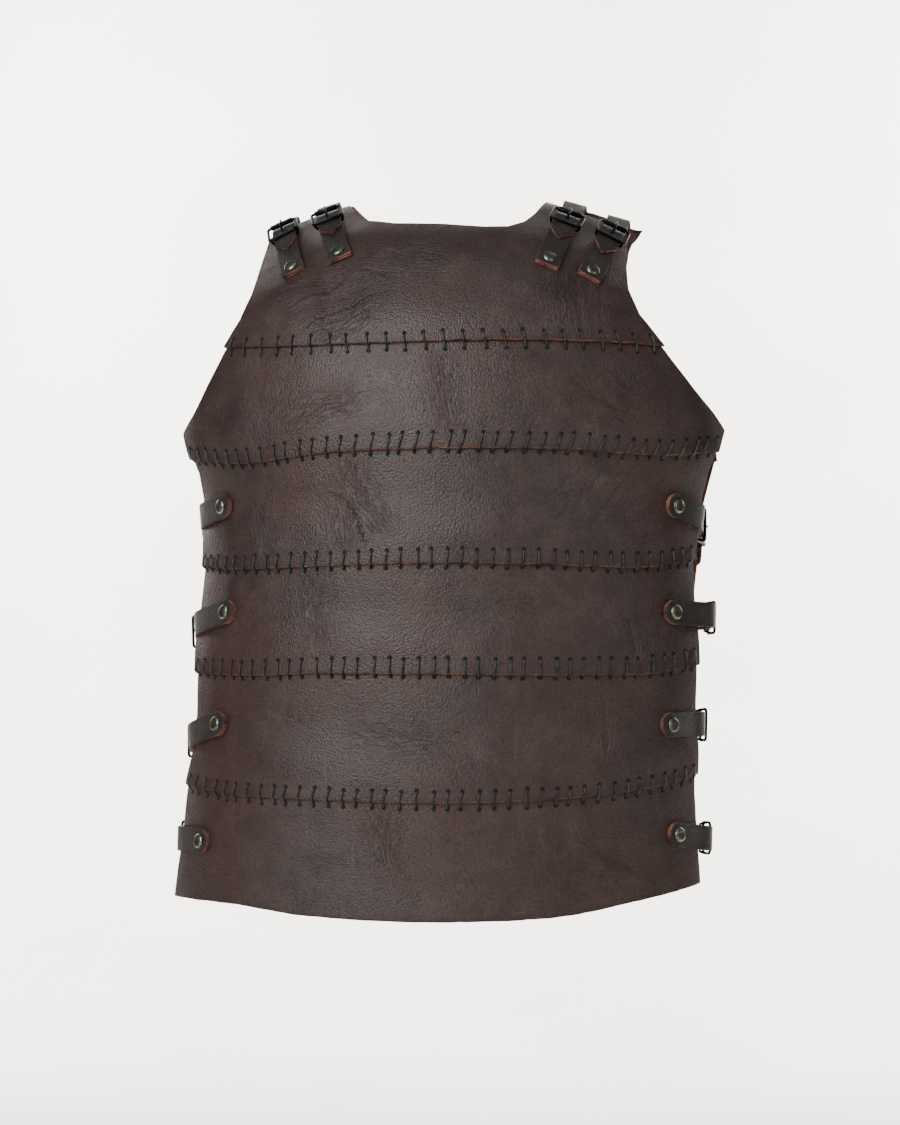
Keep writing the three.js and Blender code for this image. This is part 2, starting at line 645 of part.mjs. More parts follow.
// The strap goes under the keeper bar and the roller. The prong stands on the hinge bar between them,
// comes up through the strap and lies on the roller.
function buckleGeometry({ route, plan }) {
  const keeperHeight = strapBase(plan, plan.keeper) + STRAP_LEATHER + BAR_CLEAR + BAR_RADIUS;
  const rollerHeight = strapBase(plan, plan.roller) + STRAP_LEATHER + BAR_CLEAR + ROLLER_RADIUS;
  const railHeight = (keeperHeight + rollerHeight) / 2;
  const bar = (at, across, out, radius = BAR_RADIUS) => ({ at, across, out, radius });
  const [wide, corner] = [FRAME_HALF_WIDTH, FRAME_CORNER];
  const rollerEnd = TAB_WIDTH / 2;
  const frame = wire(route, [
    bar(plan.keeper, -wide + corner, keeperHeight),
    bar(plan.keeper, wide - corner, keeperHeight),
    bar(plan.keeper + corner, wide, keeperHeight),
    bar(plan.roller - corner, wide, rollerHeight),
    bar(plan.roller, wide - corner, rollerHeight),
    bar(plan.roller, rollerEnd, rollerHeight, ROLLER_RADIUS),
    bar(plan.roller, -rollerEnd, rollerHeight, ROLLER_RADIUS),
    bar(plan.roller, -wide + corner, rollerHeight),
    bar(plan.roller - corner, -wide, rollerHeight),
    bar(plan.keeper + corner, -wide, keeperHeight),
  ], 5, true);
  const hinge = wire(route, [
    bar(plan.hinge, -wide, railHeight),
    bar(plan.hinge, -wide + HINGE_DIP, BAR_HEIGHT),
    bar(plan.hinge, wide - HINGE_DIP, BAR_HEIGHT),
    bar(plan.hinge, wide, railHeight),
  ], 5);
  const prongTop = rollerHeight + ROLLER_RADIUS + 0.4 * PRONG_RADIUS;
  const prong = wire(route, [
    bar(plan.hinge - 0.3, 0, BAR_HEIGHT + 0.2, PRONG_RADIUS),
    bar(plan.hinge + 5, 0, prongTop - 3.2, PRONG_RADIUS),
    bar(plan.roller - 2.5, 0, prongTop, PRONG_RADIUS),
    bar(plan.roller + 3.5, 0, prongTop - 0.6, 0.6 * PRONG_RADIUS),
  ], 4);
  return geometryOf(solid(frame).add(solid(hinge)).add(solid(prong)));
}

// A domed cap sitting on the leather at a distance along a route.
function rivetGeometry(route, distance, base) {
  const profile = RIVET_PROFILE.map(({ out, up }) => (
    new THREE.Vector2(out * RIVET_RADIUS, up * RIVET_HEIGHT)));
  const cap = new THREE.LatheGeometry(profile, RIVET_SIDES);
  const { point, across, out } = route.frame(distance);
  const seat = point.clone().addScaledVector(out, base);
  cap.applyMatrix4(new THREE.Matrix4().makeBasis(across, out, across.clone().cross(out)).setPosition(seat));
  cap.deleteAttribute('normal');
  cap.deleteAttribute('uv');
  return mergeVertices(cap, 1e-4);
}

// ---------------------------------------------------------------- the cuirass

const FINISH = {
  leather: { color: 0x4b3a37, roughness: 0.5, metalness: 0 },
  strap: { color: 0x3a3430, roughness: 0.55, metalness: 0 },
  blackened: { color: 0x1e2326, roughness: 0.4, metalness: 0.9 },
  nickel: { color: 0x8c9182, roughness: 0.32, metalness: 1 },
};

function sub(name, geometry, finish) {
  const mesh = new THREE.Mesh(geometry, new THREE.MeshStandardMaterial(FINISH[finish]));
  mesh.name = name;
  return mesh;
}

const cuirass = new THREE.Group();

for (const side of ['front', 'back']) {
  LOWER_EDGES.forEach((_, band) => {
    cuirass.add(sub(`${side}_band_${band + 1}`, bandGeometry(side, band), 'leather'));
  });
}

const laidOut = (table, routeOf, plan) =>
  table.map((closure) => ({ ...closure, route: routeOf(closure), plan }));
const closures = [
  ...laidOut(SIDE_CLOSURES, sideRoute, SIDE_LAYOUT),
  ...laidOut(SHOULDER_CLOSURES, shoulderRoute, SHOULDER_LAYOUT),
];

for (const closure of closures) {
  const { name, route, plan } = closure;
  cuirass.add(sub(`tab_${name}`, tabGeometry(closure), 'strap'));
  cuirass.add(sub(`strap_${name}`, strapGeometry(closure), 'strap'));
  cuirass.add(sub(`buckle_${name}`, buckleGeometry(closure), 'blackened'));
  cuirass.add(sub(`rivet_${name}`, rivetGeometry(route, plan.rivetAt, 2 * GAP + TAB_LEATHER), 'nickel'));
}

export default cuirass;
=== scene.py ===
"""Leather cuirass, dressed: six overlapping oiled-leather bands in front and six behind, whip-stitched
with waxed cord along their laps, and held by twelve straps with roller buckles and double-cap rivets.

Sizes are millimetres, +Z up, the front faces -Y. "down" is a distance below the shoulders' top.
"""
import math

import bpy
import numpy as np
from mathutils import Matrix, Vector, noise


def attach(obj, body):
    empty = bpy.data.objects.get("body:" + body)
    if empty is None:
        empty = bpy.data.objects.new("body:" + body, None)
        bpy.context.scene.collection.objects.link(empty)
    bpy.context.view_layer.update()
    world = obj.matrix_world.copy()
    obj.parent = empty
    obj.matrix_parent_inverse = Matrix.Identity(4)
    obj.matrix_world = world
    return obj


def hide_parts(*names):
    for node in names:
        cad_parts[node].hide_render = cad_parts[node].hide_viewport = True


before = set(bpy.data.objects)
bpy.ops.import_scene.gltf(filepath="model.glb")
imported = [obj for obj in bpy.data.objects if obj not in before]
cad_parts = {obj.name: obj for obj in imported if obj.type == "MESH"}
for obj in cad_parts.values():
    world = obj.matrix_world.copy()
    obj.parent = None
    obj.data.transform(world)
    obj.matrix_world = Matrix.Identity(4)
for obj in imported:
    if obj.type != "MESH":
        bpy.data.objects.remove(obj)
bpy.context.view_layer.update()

MM = 0.001                  # one millimetre in the scene's metres

# ---- the sizes of the cuirass

WALL = 3                    # thickness of the band leather
GAP = 0.3                   # air between two pieces that touch
LAP = 15                    # how far each band reaches up under the one above it
BANDS = 6

STRAP_WIDTH = 19.5
STRAP_LEATHER = 2
TAB_WIDTH = 20
TAB_LEATHER = 4             # two layers, folded round the buckle's bar
TAB_LAYER = 1.85            # one of them, with a little air between the two
TIP_LENGTH = 13             # the pointed end of a strap
TIP_WIDTH = 2

BAR_RADIUS = 1.2            # wire of the buckle frame
ROLLER_RADIUS = 2.1
PRONG_RADIUS = 1.1
FRAME_HALF_WIDTH = 13
FRAME_CORNER = 2.6          # radius of the frame's round corners
KEEPER_BEFORE = 10          # keeper and hinge bars, before the folded end of the tab
HINGE_BEFORE = 3.5
EYE_RADIUS, EYE_WIRE = 2.0, 0.8  # of the prong, round the hinge bar
BAR_CLEAR = 0.8             # air between the strap and the bars that cross it
BAR_HEIGHT = 3.4            # centre of the hinge bar above the panel
FOLD_RISE = 2.2             # how much the fold round the bar is thicker than the tab

FOLD_FROM, FOLD_TO = 11, 1  # where the tab thickens before the hinge bar
TAB_START = 0.35            # how far both its ends stay inside its length

STRAP_OVER_TAB = 0.5
STRAP_REACHES_PANEL = 20    # behind the roller, where the strap has come down to the panel
RIDGE_CLEAR = 1.2           # how far above the panels a strap crosses the shoulder
SEAT = 0.2                  # how proud a tab or strap lies on its panel
TAB_BEFORE_RIVET = 7.5
TAB_BELOW_RIVET = 5.5
STRAP_ON_BACK = 19
CLOSE_BEND = 6              # a tab that bends nearer to the edge than this lies on the edge
EDGE_RISE = 0.6
STIFF_SHARE = 0.62          # place of the stiff stretch between rivet and bend
STRAP_SINK = 7              # how far a side strap draws in behind the bend
STRAP_FALL = 8              # how much lower it comes to lie on the back
BUCKLE_SHARE = 0.45         # where it draws in, from the bend to the back

BEFORE_RIDGE = 8            # how far below the ridge a strap leaves the front, meets the back and ends
BEHIND_RIDGE = 12
END_BEHIND_RIDGE = 44

RIVET_RADIUS = 6.25
PRONG_HOLE_AT = 3.8         # behind the hinge bar, where the prong comes up through the strap
BACK_RIVET_AT = 9           # from the strap's end

CORD_RADIUS = 0.72          # waxed lacing cord
CORD_DEPTH = 2.2            # how deep it goes into its holes
HOLE_RADIUS = 1.9           # punched holes
HOLE_PROUD = 0.08           # how far their discs of painted shadow lie over the leather

GRID_STEP = 2.4             # between the rows of points of a band
BAND_COLUMNS = 193          # points across a band
BAND_HEIGHTS = (120, 95, 95, 95, 105, 100)
TUCK_ROWS, LAP_ROWS = 7, 8
ACROSS_STRAP = np.linspace(-1, 1, 11)  # points across a tab or strap
STRAP_STEP = 1.8            # between its rows
EDGE_BARE = {"front": 0.12, "back": 0.9}  # how bare of dye the side edges are


def table(columns, rows):
    """A short table as one array for each named column."""
    return dict(zip(columns.split(), np.array(rows, dtype=float).T))


# The body that the cuirass fits, level by level.
BODY = table("down centre half front back", [
    (-3, 0, 205, 0, 0), (3, 0, 206, 26, 24), (20, 1, 208, 58, 50),
    (45, 1, 212, 98, 78), (75, 2, 216, 127, 98), (130, 4, 229, 149, 117),
    (205, 7, 243, 158, 126), (265, 7, 223, 157, 126), (300, 6, 220, 156, 126),
    (350, 4, 224, 155, 125), (400, 2, 227, 154, 124), (500, -4, 229, 154, 124),
    (600, -6, 238, 156, 126),
])
BACK_WIDTH = 0.965          # the back half of the body is a little narrower

# Side edges: shoulder tip, armhole, armpit corner, side and hem.
EDGES = {
    "front": table("down left right", [
        (28, -151, 153), (60, -154, 151), (90, -157, 152), (112, -164, 160), (138, -180, 181),
        (165, -195, 202), (188, -206, 219), (202, -215, 228), (220, -210, 223), (235, -203, 217),
        (262, -200, 210), (300, -199, 204), (345, -203, 206), (400, -205, 207), (440, -205, 206),
        (472, -206, 206), (500, -214, 205), (600, -226, 212),
    ]),
    "back": table("down left right", [
        (18, -148, 165), (45, -146, 150), (90, -150, 148), (138, -174, 176), (188, -204, 214),
        (202, -211, 224), (220, -210, 226), (262, -197, 214), (300, -192, 211), (332, -193, 208),
        (362, -194, 201), (400, -196, 200), (500, -204, 196), (600, -216, 204),
    ]),
}

# Top edges: shoulder tip, shoulder, neck corner, neckline and back out the other side.
TOPS = {
    "front": table("x down", [
        (-151, 34), (-127, 21), (-84, 5), (-74, 18), (-62, 27), (-40, 31), (0, 32),
        (35, 36), (55, 35), (67, 29), (75, 19), (83, 4), (122, 20), (153, 32),
    ]),
    "back": table("x down", [
        (-148, 24), (-120, 12), (-84, 2), (-72, 11), (-40, 18), (0, 20),
        (40, 18), (72, 11), (83, 2), (122, 12), (165, 26),
    ]),
}
NECK_CORNERS = {"left": -84, "right": 83}
NECK_COLUMN = 5.5 / 12      # place of the neck corners between the middle and an edge

# Lower edge of each band, at seven evenly spaced places from left to right. Each was cut by eye.
LOWER_EDGES = table("left left2 left1 middle right1 right2 right", [
    (134, 137, 138, 137, 136, 136, 137),
    (223, 230, 224, 222, 222, 225, 219),
    (314, 317, 315, 313, 314, 316, 309),
    (402, 404, 401, 401, 402, 402, 395),
    (496, 501, 502, 503, 501, 495, 485),
    (590, 589, 595, 597, 595, 584, 575),
])
LIFT_FROM = 0.4             # share of a band above which it lies flat on the body

SLOPE_FROM = 55             # the shoulders slope down outward from here
SLOPE_DROP = 27
SLOPE_ENDS = 200
SLOPE_FADE = 140

# Name and hand of each side closure, its front rivet across and down, how far the tab falls to the
# edge, and how far out from the edge and behind it the tab bends.
SIDE_CLOSURES = [
    ("side_left_1", -1, 177, 264, 10, 1.5, 19),
    ("side_left_2", -1, 173, 352, 15, 2, 18),
    ("side_left_3", -1, 180, 444, 15, 5.8, 15),
    ("side_left_4", -1, 195, 541, 1, 1, 18),
    ("side_right_1", 1, 188, 265, 11, 2, 17),
    ("side_right_2", 1, 186, 352, 2, 14, 8),
    ("side_right_3", 1, 183, 443, 1, 6, 12),
    ("side_right_4", 1, 189, 533, 6, 10, 10),
]
# The same for the shoulders, and how far across each strap passes over the ridge.
SHOULDER_CLOSURES = [
    ("shoulder_left_outer", -1, 121, 71, 140),
    ("shoulder_left_inner", -1, 82, 61, 104),
    ("shoulder_right_inner", 1, 88, 69, 108),
    ("shoulder_right_outer", 1, 122, 78, 145),
]

# Lacing of each lap: stitches, how far the upper holes stand above the cut edge at the left, in the
# middle and at the right, how far the lower holes are below it, and how far each stitch leans.
LACING = table("stitches above_left above_middle above_right below lean_left lean_middle lean_right", [
    (24, 5.6, 7.3, 6.5, 5.0, -3.0, 0.6, 2.6),
    (40, 9.7, 12.0, 10.8, 2.2, 2.6, -3.8, -4.0),
    (39, 9.0, 11.0, 10.5, 2.2, -0.5, -0.4, -0.8),
    (39, 10.0, 12.5, 13.5, 1.6, 0.3, 0.0, 0.3),
    (39, 8.5, 8.8, 8.4, 4.2, -1.5, -1.0, 0.6),
])
LACING_INSET = 8            # from a side edge to the first stitch
LACING_STRAY = dict(at=1.3, above=0.8, below=0.6, lean=0.9)  # unevenness of the hand's work

# Creases: middle, length, slope in degrees (positive falls to the right), half width, and depth,
# under 0 for a ridge. Fine wrinkles run beside each.
CREASES = table("x down length slope width depth", [
    (-112, 88, 70, -10, 2.6, 0.45), (-84, 100, 84, -16, 2.8, 0.52), (-70, 116, 70, -24, 2.4, -0.39),
    (98, 92, 60, 86, 1.8, 0.63), (112, 100, 62, 88, 1.8, 0.72), (128, 94, 50, 82, 1.8, 0.63),
    (-26, 62, 90, 4, 5.0, 0.39), (-150, 172, 62, 64, 3.5, 0.65), (-92, 188, 70, -20, 3.0, 0.52),
    (10, 180, 74, 78, 4.0, 0.39), (126, 176, 40, 36, 1.8, 0.9), (138, 186, 44, 30, 1.8, 0.99),
    (150, 168, 38, 44, 1.8, 0.72), (116, 238, 66, -44, 1.8, 1.08), (126, 250, 74, -46, 1.8, 1.17),
    (138, 262, 72, -46, 1.8, 1.08), (108, 266, 52, -40, 2.0, 0.81), (150, 274, 46, -42, 1.8, 0.72),
    (-64, 252, 60, 76, 2.4, 0.59), (-52, 270, 50, 58, 2.2, 0.65), (-74, 280, 44, 84, 2.2, 0.52),
    (-140, 284, 50, 76, 3.6, 0.52), (-96, 350, 70, 84, 4.0, 0.45), (52, 344, 90, -10, 5.0, 0.39),
    (152, 368, 48, 78, 2.4, 0.9), (-128, 432, 64, 18, 3.4, 0.45), (-20, 452, 100, 6, 5.0, 0.39),
    (120, 430, 56, 84, 2.2, 0.72), (134, 446, 64, 88, 2.2, 0.81), (98, 560, 58, 44, 1.8, 0.99),
    (130, 543, 70, 33, 2.0, 1.35), (112, 548, 60, 40, 1.8, 0.99), (84, 540, 46, 52, 1.8, 0.81),
    (106, 536, 44, -50, 1.8, 0.72), (122, 558, 40, -46, 1.8, 0.72), (-110, 548, 80, 10, 4.0, 0.52),
    (-40, 534, 66, 76, 4.0, 0.39),
])
WRINKLES_BESIDE = 15        # how far beside a crease its fine wrinkles reach
CREASE_STRAYS = ((1.6, 9), (0.7, 3.7))  # how far a crease strays, and over what length
SOFT_ROLLS = ((0.8, 62, 4.2), (0.3, 21, 9.1))  # of the leather: height, size and seed

# ---- reading the tables


def smooth(rows, key, column, at):
    """A cubic through a table's rows that never overshoots them."""
    x, y = rows[key], rows[column]
    step = np.diff(x)
    rise = np.diff(y) / step
    before, after = rise[:-1], rise[1:]
    total = np.where(before * after > 0, before + after, 1)
    inner = np.where(before * after > 0, 2 * before * after / total, 0)
    slope = np.concatenate([rise[:1], inner, rise[-1:]])
    at = np.clip(at, x[0], x[-1])
    row = np.clip(np.searchsorted(x, at, side="left") - 1, 0, len(x) - 2)
    t = (at - x[row]) / step[row]
    return (y[row] * (2 * t**3 - 3 * t**2 + 1) + slope[row] * step[row] * (t**3 - 2 * t**2 + t)
            + y[row + 1] * (3 * t**2 - 2 * t**3) + slope[row + 1] * step[row] * (t**3 - t**2))


def mix(a, b, share):
    return a + (b - a) * share


def ease(at, start, end):
    t = np.clip((at - start) / (end - start), 0, 1)
    return t * t * (3 - 2 * t)


def lower_edge(band, u):
    places = {"u": np.linspace(-1, 1, 7), "down": np.array([row[band] for row in LOWER_EDGES.values()])}
    return smooth(places, "u", "down", u)


# ---- the body's form

FACING = {"front": -1, "back": 1}


def half_width(side, down):
    return smooth(BODY, "down", "half", down) * (BACK_WIDTH if side == "back" else 1)


def middle(down):
    return smooth(BODY, "down", "centre", down)


def shoulder_drop(x, down):
    out = np.maximum(0, (np.abs(x) - SLOPE_FROM) / 100)
    return SLOPE_DROP * out**1.5 * np.clip((SLOPE_ENDS - down) / SLOPE_FADE, 0, 1)


def on_body(side, angle, down):
    """A point of the body. The angle is 0 in the middle and a quarter turn at the side."""
    x = middle(down) + half_width(side, down) * np.sin(angle)
    depth = smooth(BODY, "down", side, down - shoulder_drop(x, down))
    return np.stack(np.broadcast_arrays(x, FACING[side] * depth * np.cos(angle), -down), axis=-1)


def unit(vectors):
    return vectors / np.linalg.norm(vectors, axis=-1, keepdims=True)


def travelled(points):
    """How far each point of a line, or each row of a grid, is from the first one."""
    steps = np.cumsum(np.linalg.norm(np.diff(points, axis=0), axis=-1), axis=0)
    return np.concatenate([0 * steps[:1], steps])


def way_out(surface, side, angle, down, turn, drop):
    across = surface(side, angle + turn, down) - surface(side, angle - turn, down)
    downward = surface(side, angle, down + drop) - surface(side, angle, down - drop)
    return unit(np.cross(across, downward) * FACING[side])


def outward(side, angle, down):
    return way_out(on_body, side, angle, down, 0.004, 0.6)


def angle_at(side, x, down):
    return np.arcsin(np.clip((x - middle(down)) / half_width(side, down), -1, 1))


def off_body(side, angle, down, out):
    out = np.asarray(out, dtype=float)[..., None]
    return on_body(side, angle, down) + outward(side, angle, down) * out


def edge_angles(side, down):
    edges = EDGES[side]
    return [angle_at(side, np.interp(down, edges["down"], edges[hand]), down) for hand in ("left", "right")]


def plain_place(side, u, down):
    left, right = edge_angles(side, down)
    return mix(left, right, (u + 1) / 2), down


def yoke_place(side, u, share):
    """A place on the top band, between its top edge, share 0, and the lap below, share 1."""
    top, edges = TOPS[side], EDGES[side]
    knots = [-1, -NECK_COLUMN, NECK_COLUMN, 1]
    top_x_at = [top["x"][0], NECK_CORNERS["left"], NECK_CORNERS["right"], top["x"][-1]]

    def top_x(v):
        return np.interp(v, knots, top_x_at)

    def top_down(v):
        return np.interp(top_x(v), top["x"], top["down"])

    def lap_down(v):
        return lower_edge(0, v) - LAP

    def drawn_in(hand, v):
        """How far the side edge is from a straight line between the shoulder's tip and the lap."""
        straight = mix(top_x(v), np.interp(lap_down(v), edges["down"], edges[hand]), share)
        return np.interp(mix(top_down(v), lap_down(v), share), edges["down"], edges[hand]) - straight

    down = mix(top_down(u), lap_down(u), share)
    lap_x = on_body(side, *plain_place(side, u, lap_down(u)))[..., 0]
    drawn = mix(drawn_in("left", -1.0), drawn_in("right", 1.0), (u + 1) / 2) * min(1, 12 * share)
    return angle_at(side, mix(top_x(u), lap_x, share) + drawn, down), down


def lift(band, share):
    """How far a band has risen off the body to ride over the top of the next one."""
    if band == BANDS - 1:
        return 0 * share
    return (WALL + GAP) * ease(share, LIFT_FROM, 1)


# ---- unevenness of the leather


def rolls(points, size, seed):
    """Soft rolls of the leather, -1 to 1, about this size across, the same on both layers of a lap."""
    spots = points.reshape(-1, 3) / size
    heights = [noise.noise(Vector(spot) + Vector((seed, 2 * seed, 3 * seed))) for spot in spots]
    return np.array(heights).reshape(points.shape[:-1])


def creased(side, points):
    """At each point the height of all the creases together and, for the fine wrinkles, the place along
    and beside the nearest crease and its strength. The back has the same creases, turned over and moved."""
    x, down = points[..., 0], -points[..., 2]
    if side == "back":
        x, down = 9 - 0.92 * x, down + 12 * np.sin(x / 60)
    height, strength = np.zeros(x.shape), np.zeros(x.shape)
    nearest = np.zeros((*x.shape, 3))
    for at_x, at_down, length, slope, width, depth in zip(*CREASES.values()):
        turn = math.radians(slope)
        along = (x - at_x) * math.cos(turn) + (down - at_down) * math.sin(turn)
        aside = (down - at_down) * math.cos(turn) - (x - at_x) * math.sin(turn)
        for (stray, pace), start in zip(CREASE_STRAYS, (at_x, at_down)):
            aside = aside + stray * np.sin(along / pace + start)
        fade = np.exp(-((2 * along / length) ** 4))
        height -= depth * np.exp(-((aside / width) ** 2)) * fade
        here = fade * np.exp(-((aside / WRINKLES_BESIDE) ** 2))
        nearer = here > strength
        strength = np.maximum(here, strength)
        nearest[nearer] = np.stack([along, aside, here], axis=-1)[nearer]
    return height, nearest


def dressed(side, angle, down, out):
    """A point over the body, with the leather's own unevenness."""
    points = off_body(side, angle, down, 0)
    rise = sum(height * rolls(points, size, seed) for height, size, seed in SOFT_ROLLS)
    rise = rise + creased(side, points)[0]
    return points + outward(side, angle, down) * (np.asarray(out, dtype=float) + rise)[..., None]


# ---- finishes


def colour(value):
    """An sRGB hex value as linear red, green, blue and alpha."""
    parts = [int(value[k:k + 2], 16) / 255 for k in (0, 2, 4)]
    return (*[c / 12.92 if c <= 0.04045 else ((c + 0.055) / 1.055) ** 2.4 for c in parts], 1)


def feed(tree, made, inputs):
    """Sets inputs of a node to values or to links."""
    for name, value in inputs.items():
        if isinstance(value, bpy.types.NodeSocket):
            tree.links.new(value, made.inputs[name])
        else:
            made.inputs[name].default_value = value


def node(tree, kind, inputs=None, **settings):
    """Adds a node, with its settings and with its inputs as values or as links."""
    made = tree.nodes.new("ShaderNode" + kind)
    for name, value in settings.items():
        setattr(made, name, value)
    feed(tree, made, inputs or {})
    return made


def shade(tree, inputs):
    feed(tree, tree.nodes["Principled BSDF"], inputs)


def new_finish(name):
    """A new material, its node tree and the coordinates that its patterns are laid in."""
    finish = bpy.data.materials.new(name)
    finish.use_nodes = True
    return finish, finish.node_tree, node(finish.node_tree, "TexCoord").outputs["Object"]


def ramp(tree, factor, stops):
    made = node(tree, "ValToRGB", {"Fac": factor})
    elements = made.color_ramp.elements
    while len(elements) < len(stops):
        elements.new(0.5)
    for element, (place, value) in zip(elements, stops):
        element.position = place
        element.color = colour(value) if isinstance(value, str) else (value, value, value, 1)
    return made.outputs["Color"]


def scale_of(size):
    """Pattern scale for features of this many millimetres."""
    return 1 / (size * MM)


def cloud(tree, spot, size, detail=2.0, rough=0.5):
    """A cloudy pattern with features of this many millimetres."""
    return node(tree, "TexNoise", {"Vector": spot, "Scale": scale_of(size), "Detail": detail,
                                   "Roughness": rough}).outputs["Fac"]


def blend(tree, factor, a, b):
    """Two colours mixed, all of the first where the factor is 0."""
    return node(tree, "Mix", {0: factor, 6: a, 7: b}, data_type="RGBA").outputs[2]


def ranged(tree, value, start, end, first, last):
    """A value between start and end as one between first and last."""
    return node(tree, "MapRange", {"Value": value, "From Min": start, "From Max": end,
                                   "To Min": first, "To Max": last}).outputs["Result"]


def relief(tree, height, strength, depth, under=None, **settings):
    """A pattern as relief of this depth in millimetres, over another relief if there is one."""
    inputs = {"Height": height, "Strength": strength, "Distance": depth * MM}
    if under:
        inputs["Normal"] = under
    return node(tree, "Bump", inputs, **settings).outputs["Normal"]


def oiled_leather(name, shades, reds, edge_burnish_and_grain_shade, roughness):
    """Oiled vegetable-tanned cowhide: satin, mottled, with pebbled grain, fine wrinkles and scratches."""
    finish, tree, spot = new_finish(name)
    drift = cloud(tree, spot, size=120, detail=3.0)
    mottle = cloud(tree, spot, size=26, detail=6.0, rough=0.62)
    fleck = cloud(tree, spot, size=5, detail=4.0, rough=0.7)
    pebble = node(tree, "TexVoronoi", {"Vector": spot, "Scale": scale_of(1.7)}, feature="F1")
    pebble = pebble.outputs["Distance"]
    streaks = node(tree, "Mapping", {"Vector": spot, "Scale": (1.0, 1.0, 0.06)}).outputs["Vector"]
    scratch = cloud(tree, streaks, size=3.2, detail=3.0)
    rim = node(tree, "Attribute", attribute_name="rim").outputs["Fac"]

    ground = ramp(tree, mottle, [(0.26, shades[0]), (0.5, shades[1]), (0.76, shades[2])])
    for share, tint in ((ramp(tree, drift, [(0.42, 0.0), (0.66, 0.45)]), reds),
                        (ramp(tree, fleck, [(0.42, 0.22), (0.62, 0.0)]), shades[0]),
                        # Darker pebble valleys: partly the grain's own tone, partly painted shade in the
                        # valleys.
                        (ramp(tree, pebble, [(0.3, 0.0), (0.75, 0.5)]), edge_burnish_and_grain_shade),
                        (ramp(tree, scratch, [(0.62, 0.0), (0.72, 0.35)]), shades[2]),
                        (ranged(tree, rim, 0.0, 5.0, 0.55, 0.0), edge_burnish_and_grain_shade)):
        ground = blend(tree, share, ground, colour(tint))

    fold = node(tree, "Attribute", attribute_name="fold").outputs["Vector"]
    strength = node(tree, "SeparateXYZ", {"Vector": fold}).outputs["Z"]
    beside = node(tree, "Mapping", {"Vector": fold, "Scale": (0.05, 0.5, 0.0)}).outputs["Vector"]
    wrinkle = node(tree, "TexNoise", {"Vector": beside, "Scale": 1.0, "Detail": 3.0}).outputs["Fac"]
    wrinkle_line = ramp(tree, wrinkle, [(0.36, 0.0), (0.47, 1.0), (0.56, 1.0), (0.66, 0.3)])
    grain = relief(tree, pebble, 0.9, 0.4, invert=True)
    grain = relief(tree, blend(tree, strength, (1, 1, 1, 1), wrinkle_line), 0.9, 0.6, grain)
    grain = relief(tree, fleck, 0.4, 0.5, grain)
    shade(tree, {"Base Color": ground, "IOR": 1.5, "Normal": grain,
                 "Roughness": ranged(tree, mottle, 0.3, 0.7, roughness - 0.06, roughness + 0.1)})
    return finish


def cut_leather(name, raw, worn, dyed):
    """The raw edge that a knife leaves: orange-brown fibres, darker where dye and wax have soaked in."""
    finish, tree, spot = new_finish(name)
    soak = cloud(tree, spot, size=14, detail=4.0, rough=0.65)
    fibre = cloud(tree, spot, size=1.4, detail=3.0)
    bare = node(tree, "Attribute", attribute_name="bare").outputs["Fac"]
    ground = ramp(tree, soak, [(0.36, dyed), (0.46, worn), (0.6, raw)])
    ground = blend(tree, ramp(tree, fibre, [(0.4, 0.6), (0.6, 0.0)]), ground, colour(dyed))
    shade(tree, {"Base Color": blend(tree, bare, colour(dyed), ground), "Roughness": 0.82,
                 "Normal": relief(tree, fibre, 0.5, 0.4)})
    return finish


def flesh_leather():
    """The flesh side of the hide: a dull brown nap with soft cloudy patches."""
    finish, tree, spot = new_finish("flesh_side_leather")
    patches = ramp(tree, cloud(tree, spot, size=40, detail=5.0), [(0.35, "4a2f22"), (0.65, "70503b")])
    nap = cloud(tree, spot, size=1.6, detail=4.0)
    shade(tree, {"Base Color": blend(tree, ramp(tree, nap, [(0.4, 0.35), (0.6, 0.0)]), patches,
                                     colour("3a251b")),
                 "Roughness": 0.9, "Sheen Weight": 0.25, "Normal": relief(tree, nap, 0.6, 0.4)})
    return finish


def waxed_cord():
    """Twisted waxed linen: nearly black, with lighter blue-grey patches, partly rubbed wax and partly a
    painted gleam.
    """
    finish, tree, spot = new_finish("waxed_linen_cord")
    wax_rub_and_gleam = cloud(tree, spot, size=4, detail=3.0)
    twist = node(tree, "TexWave", {"Vector": spot, "Scale": scale_of(6), "Distortion": 1.5},
                 bands_direction="DIAGONAL").outputs["Fac"]
    # The lighter blue-grey patches are partly the wax's tone, partly a painted gleam.
    shade(tree, {"Base Color": ramp(tree, wax_rub_and_gleam, [(0.4, "15181a"), (0.62, "34393c")]), "Roughness": 0.42,
                 "Normal": relief(tree, twist, 0.5, 0.25)})
    return finish


def punched_hole():
    """The dark inside of a punched hole, painted as shadow on a flat disc."""
    finish, tree, spot = new_finish("punched_hole_shadow")
    shadow_mottle = cloud(tree, spot, size=1.2)
    shade(tree, {"Base Color": ramp(tree, shadow_mottle, [(0.4, "060505"), (0.6, "0f0b0a")]), "Roughness": 0.9})
    return finish


def aged_metal(name, shades, roughness, tarnish):
    """A plated or blackened fitting: clean in some patches, dull and darker in others."""
    finish, tree, spot = new_finish(name)
    patch = cloud(tree, spot, size=3.5, detail=5.0, rough=0.7)
    grit = cloud(tree, spot, size=0.9)
    shade(tree, {"Base Color": ramp(tree, patch, [(0.38, shades[0]), (0.6, shades[1])]), "Metallic": 1.0,
                 "Roughness": ranged(tree, patch, 0.35, 0.65, roughness + tarnish, roughness),
                 "Normal": relief(tree, grit, 0.15, 0.15)})
    return finish
